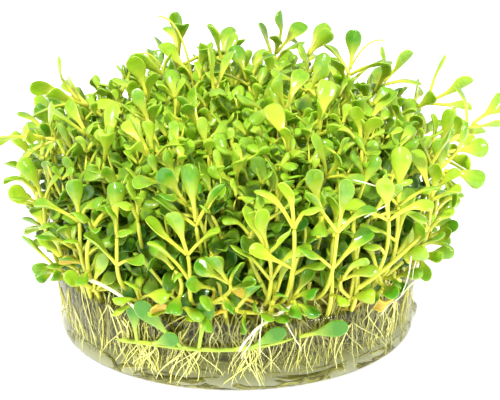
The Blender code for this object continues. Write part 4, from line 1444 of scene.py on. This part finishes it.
class GLOSSO_OT_stage(bpy.types.Operator):
    """Sets the white board, the soft lights and the camera at the photograph's angle"""

    bl_idname = "glosso.stage"
    bl_label = "Set the stage"

    def execute(self, context):
        settings = context.scene.glosso
        corners = [(x * BOARD_HALF, y * BOARD_HALF, BOARD_TOP_Z) for x, y in BOARD_CORNERS]
        finish = studio_board("studio_board", colour("#FAFAFA"))
        board = new_object("board", corners, [(0, 1, 2, 3)], finish)
        world = bpy.data.worlds.new("studio")
        world.use_nodes = True
        sky = world.node_tree.nodes["Background"].inputs
        sky["Color"].default_value = (1, 1, 1, 1)
        sky["Strength"].default_value = SKY_STRENGTH
        context.scene.world = world
        context.scene.view_settings.view_transform = "Standard"
        for light in LIGHTS:
            soft_light(*light)
        ahead = Vector((0, math.cos(CAMERA_TILT), -math.sin(CAMERA_TILT)))
        camera = bpy.data.cameras.new("camera")
        camera.lens = CAMERA_LENS
        camera.sensor_width = 36.0
        camera.clip_start = 0.01
        seen = bpy.data.objects.new("camera", camera)
        seen.location = Vector(CAMERA_AIM) - ahead * settings.view_distance
        seen.rotation_euler = ahead.to_track_quat("-Z", "Y").to_euler()
        context.scene.collection.objects.link(seen)
        context.scene.camera = seen
        return {"FINISHED"}


OPERATORS = (
    GLOSSO_OT_stage,
    GLOSSO_OT_gel,
    GLOSSO_OT_root_mat,
    GLOSSO_OT_roots,
    GLOSSO_OT_cushion,
    GLOSSO_OT_shoots,
    GLOSSO_OT_withered,
    GLOSSO_OT_runner,
)


class VIEW3D_PT_glossostigma(bpy.types.Panel):
    """Lists the settings and the steps"""

    bl_label = "Glossostigma"
    bl_space_type = "VIEW_3D"
    bl_region_type = "UI"
    bl_category = "Glossostigma"

    def draw(self, context):
        for name in GlossostigmaSettings.__annotations__:
            self.layout.prop(context.scene.glosso, name)
        for operator in OPERATORS:
            self.layout.operator(operator.bl_idname)


CLASSES = (GlossostigmaSettings, *OPERATORS, VIEW3D_PT_glossostigma)


def register():
    for each in CLASSES:
        bpy.utils.register_class(each)
    bpy.types.Scene.glosso = PointerProperty(type=GlossostigmaSettings)


def unregister():
    del bpy.types.Scene.glosso
    for each in reversed(CLASSES):
        bpy.utils.unregister_class(each)


def main():
    register()
    for operator in OPERATORS:
        group, name = operator.bl_idname.split(".")
        getattr(getattr(bpy.ops, group), name)()


if __name__ == "__main__":
    main()
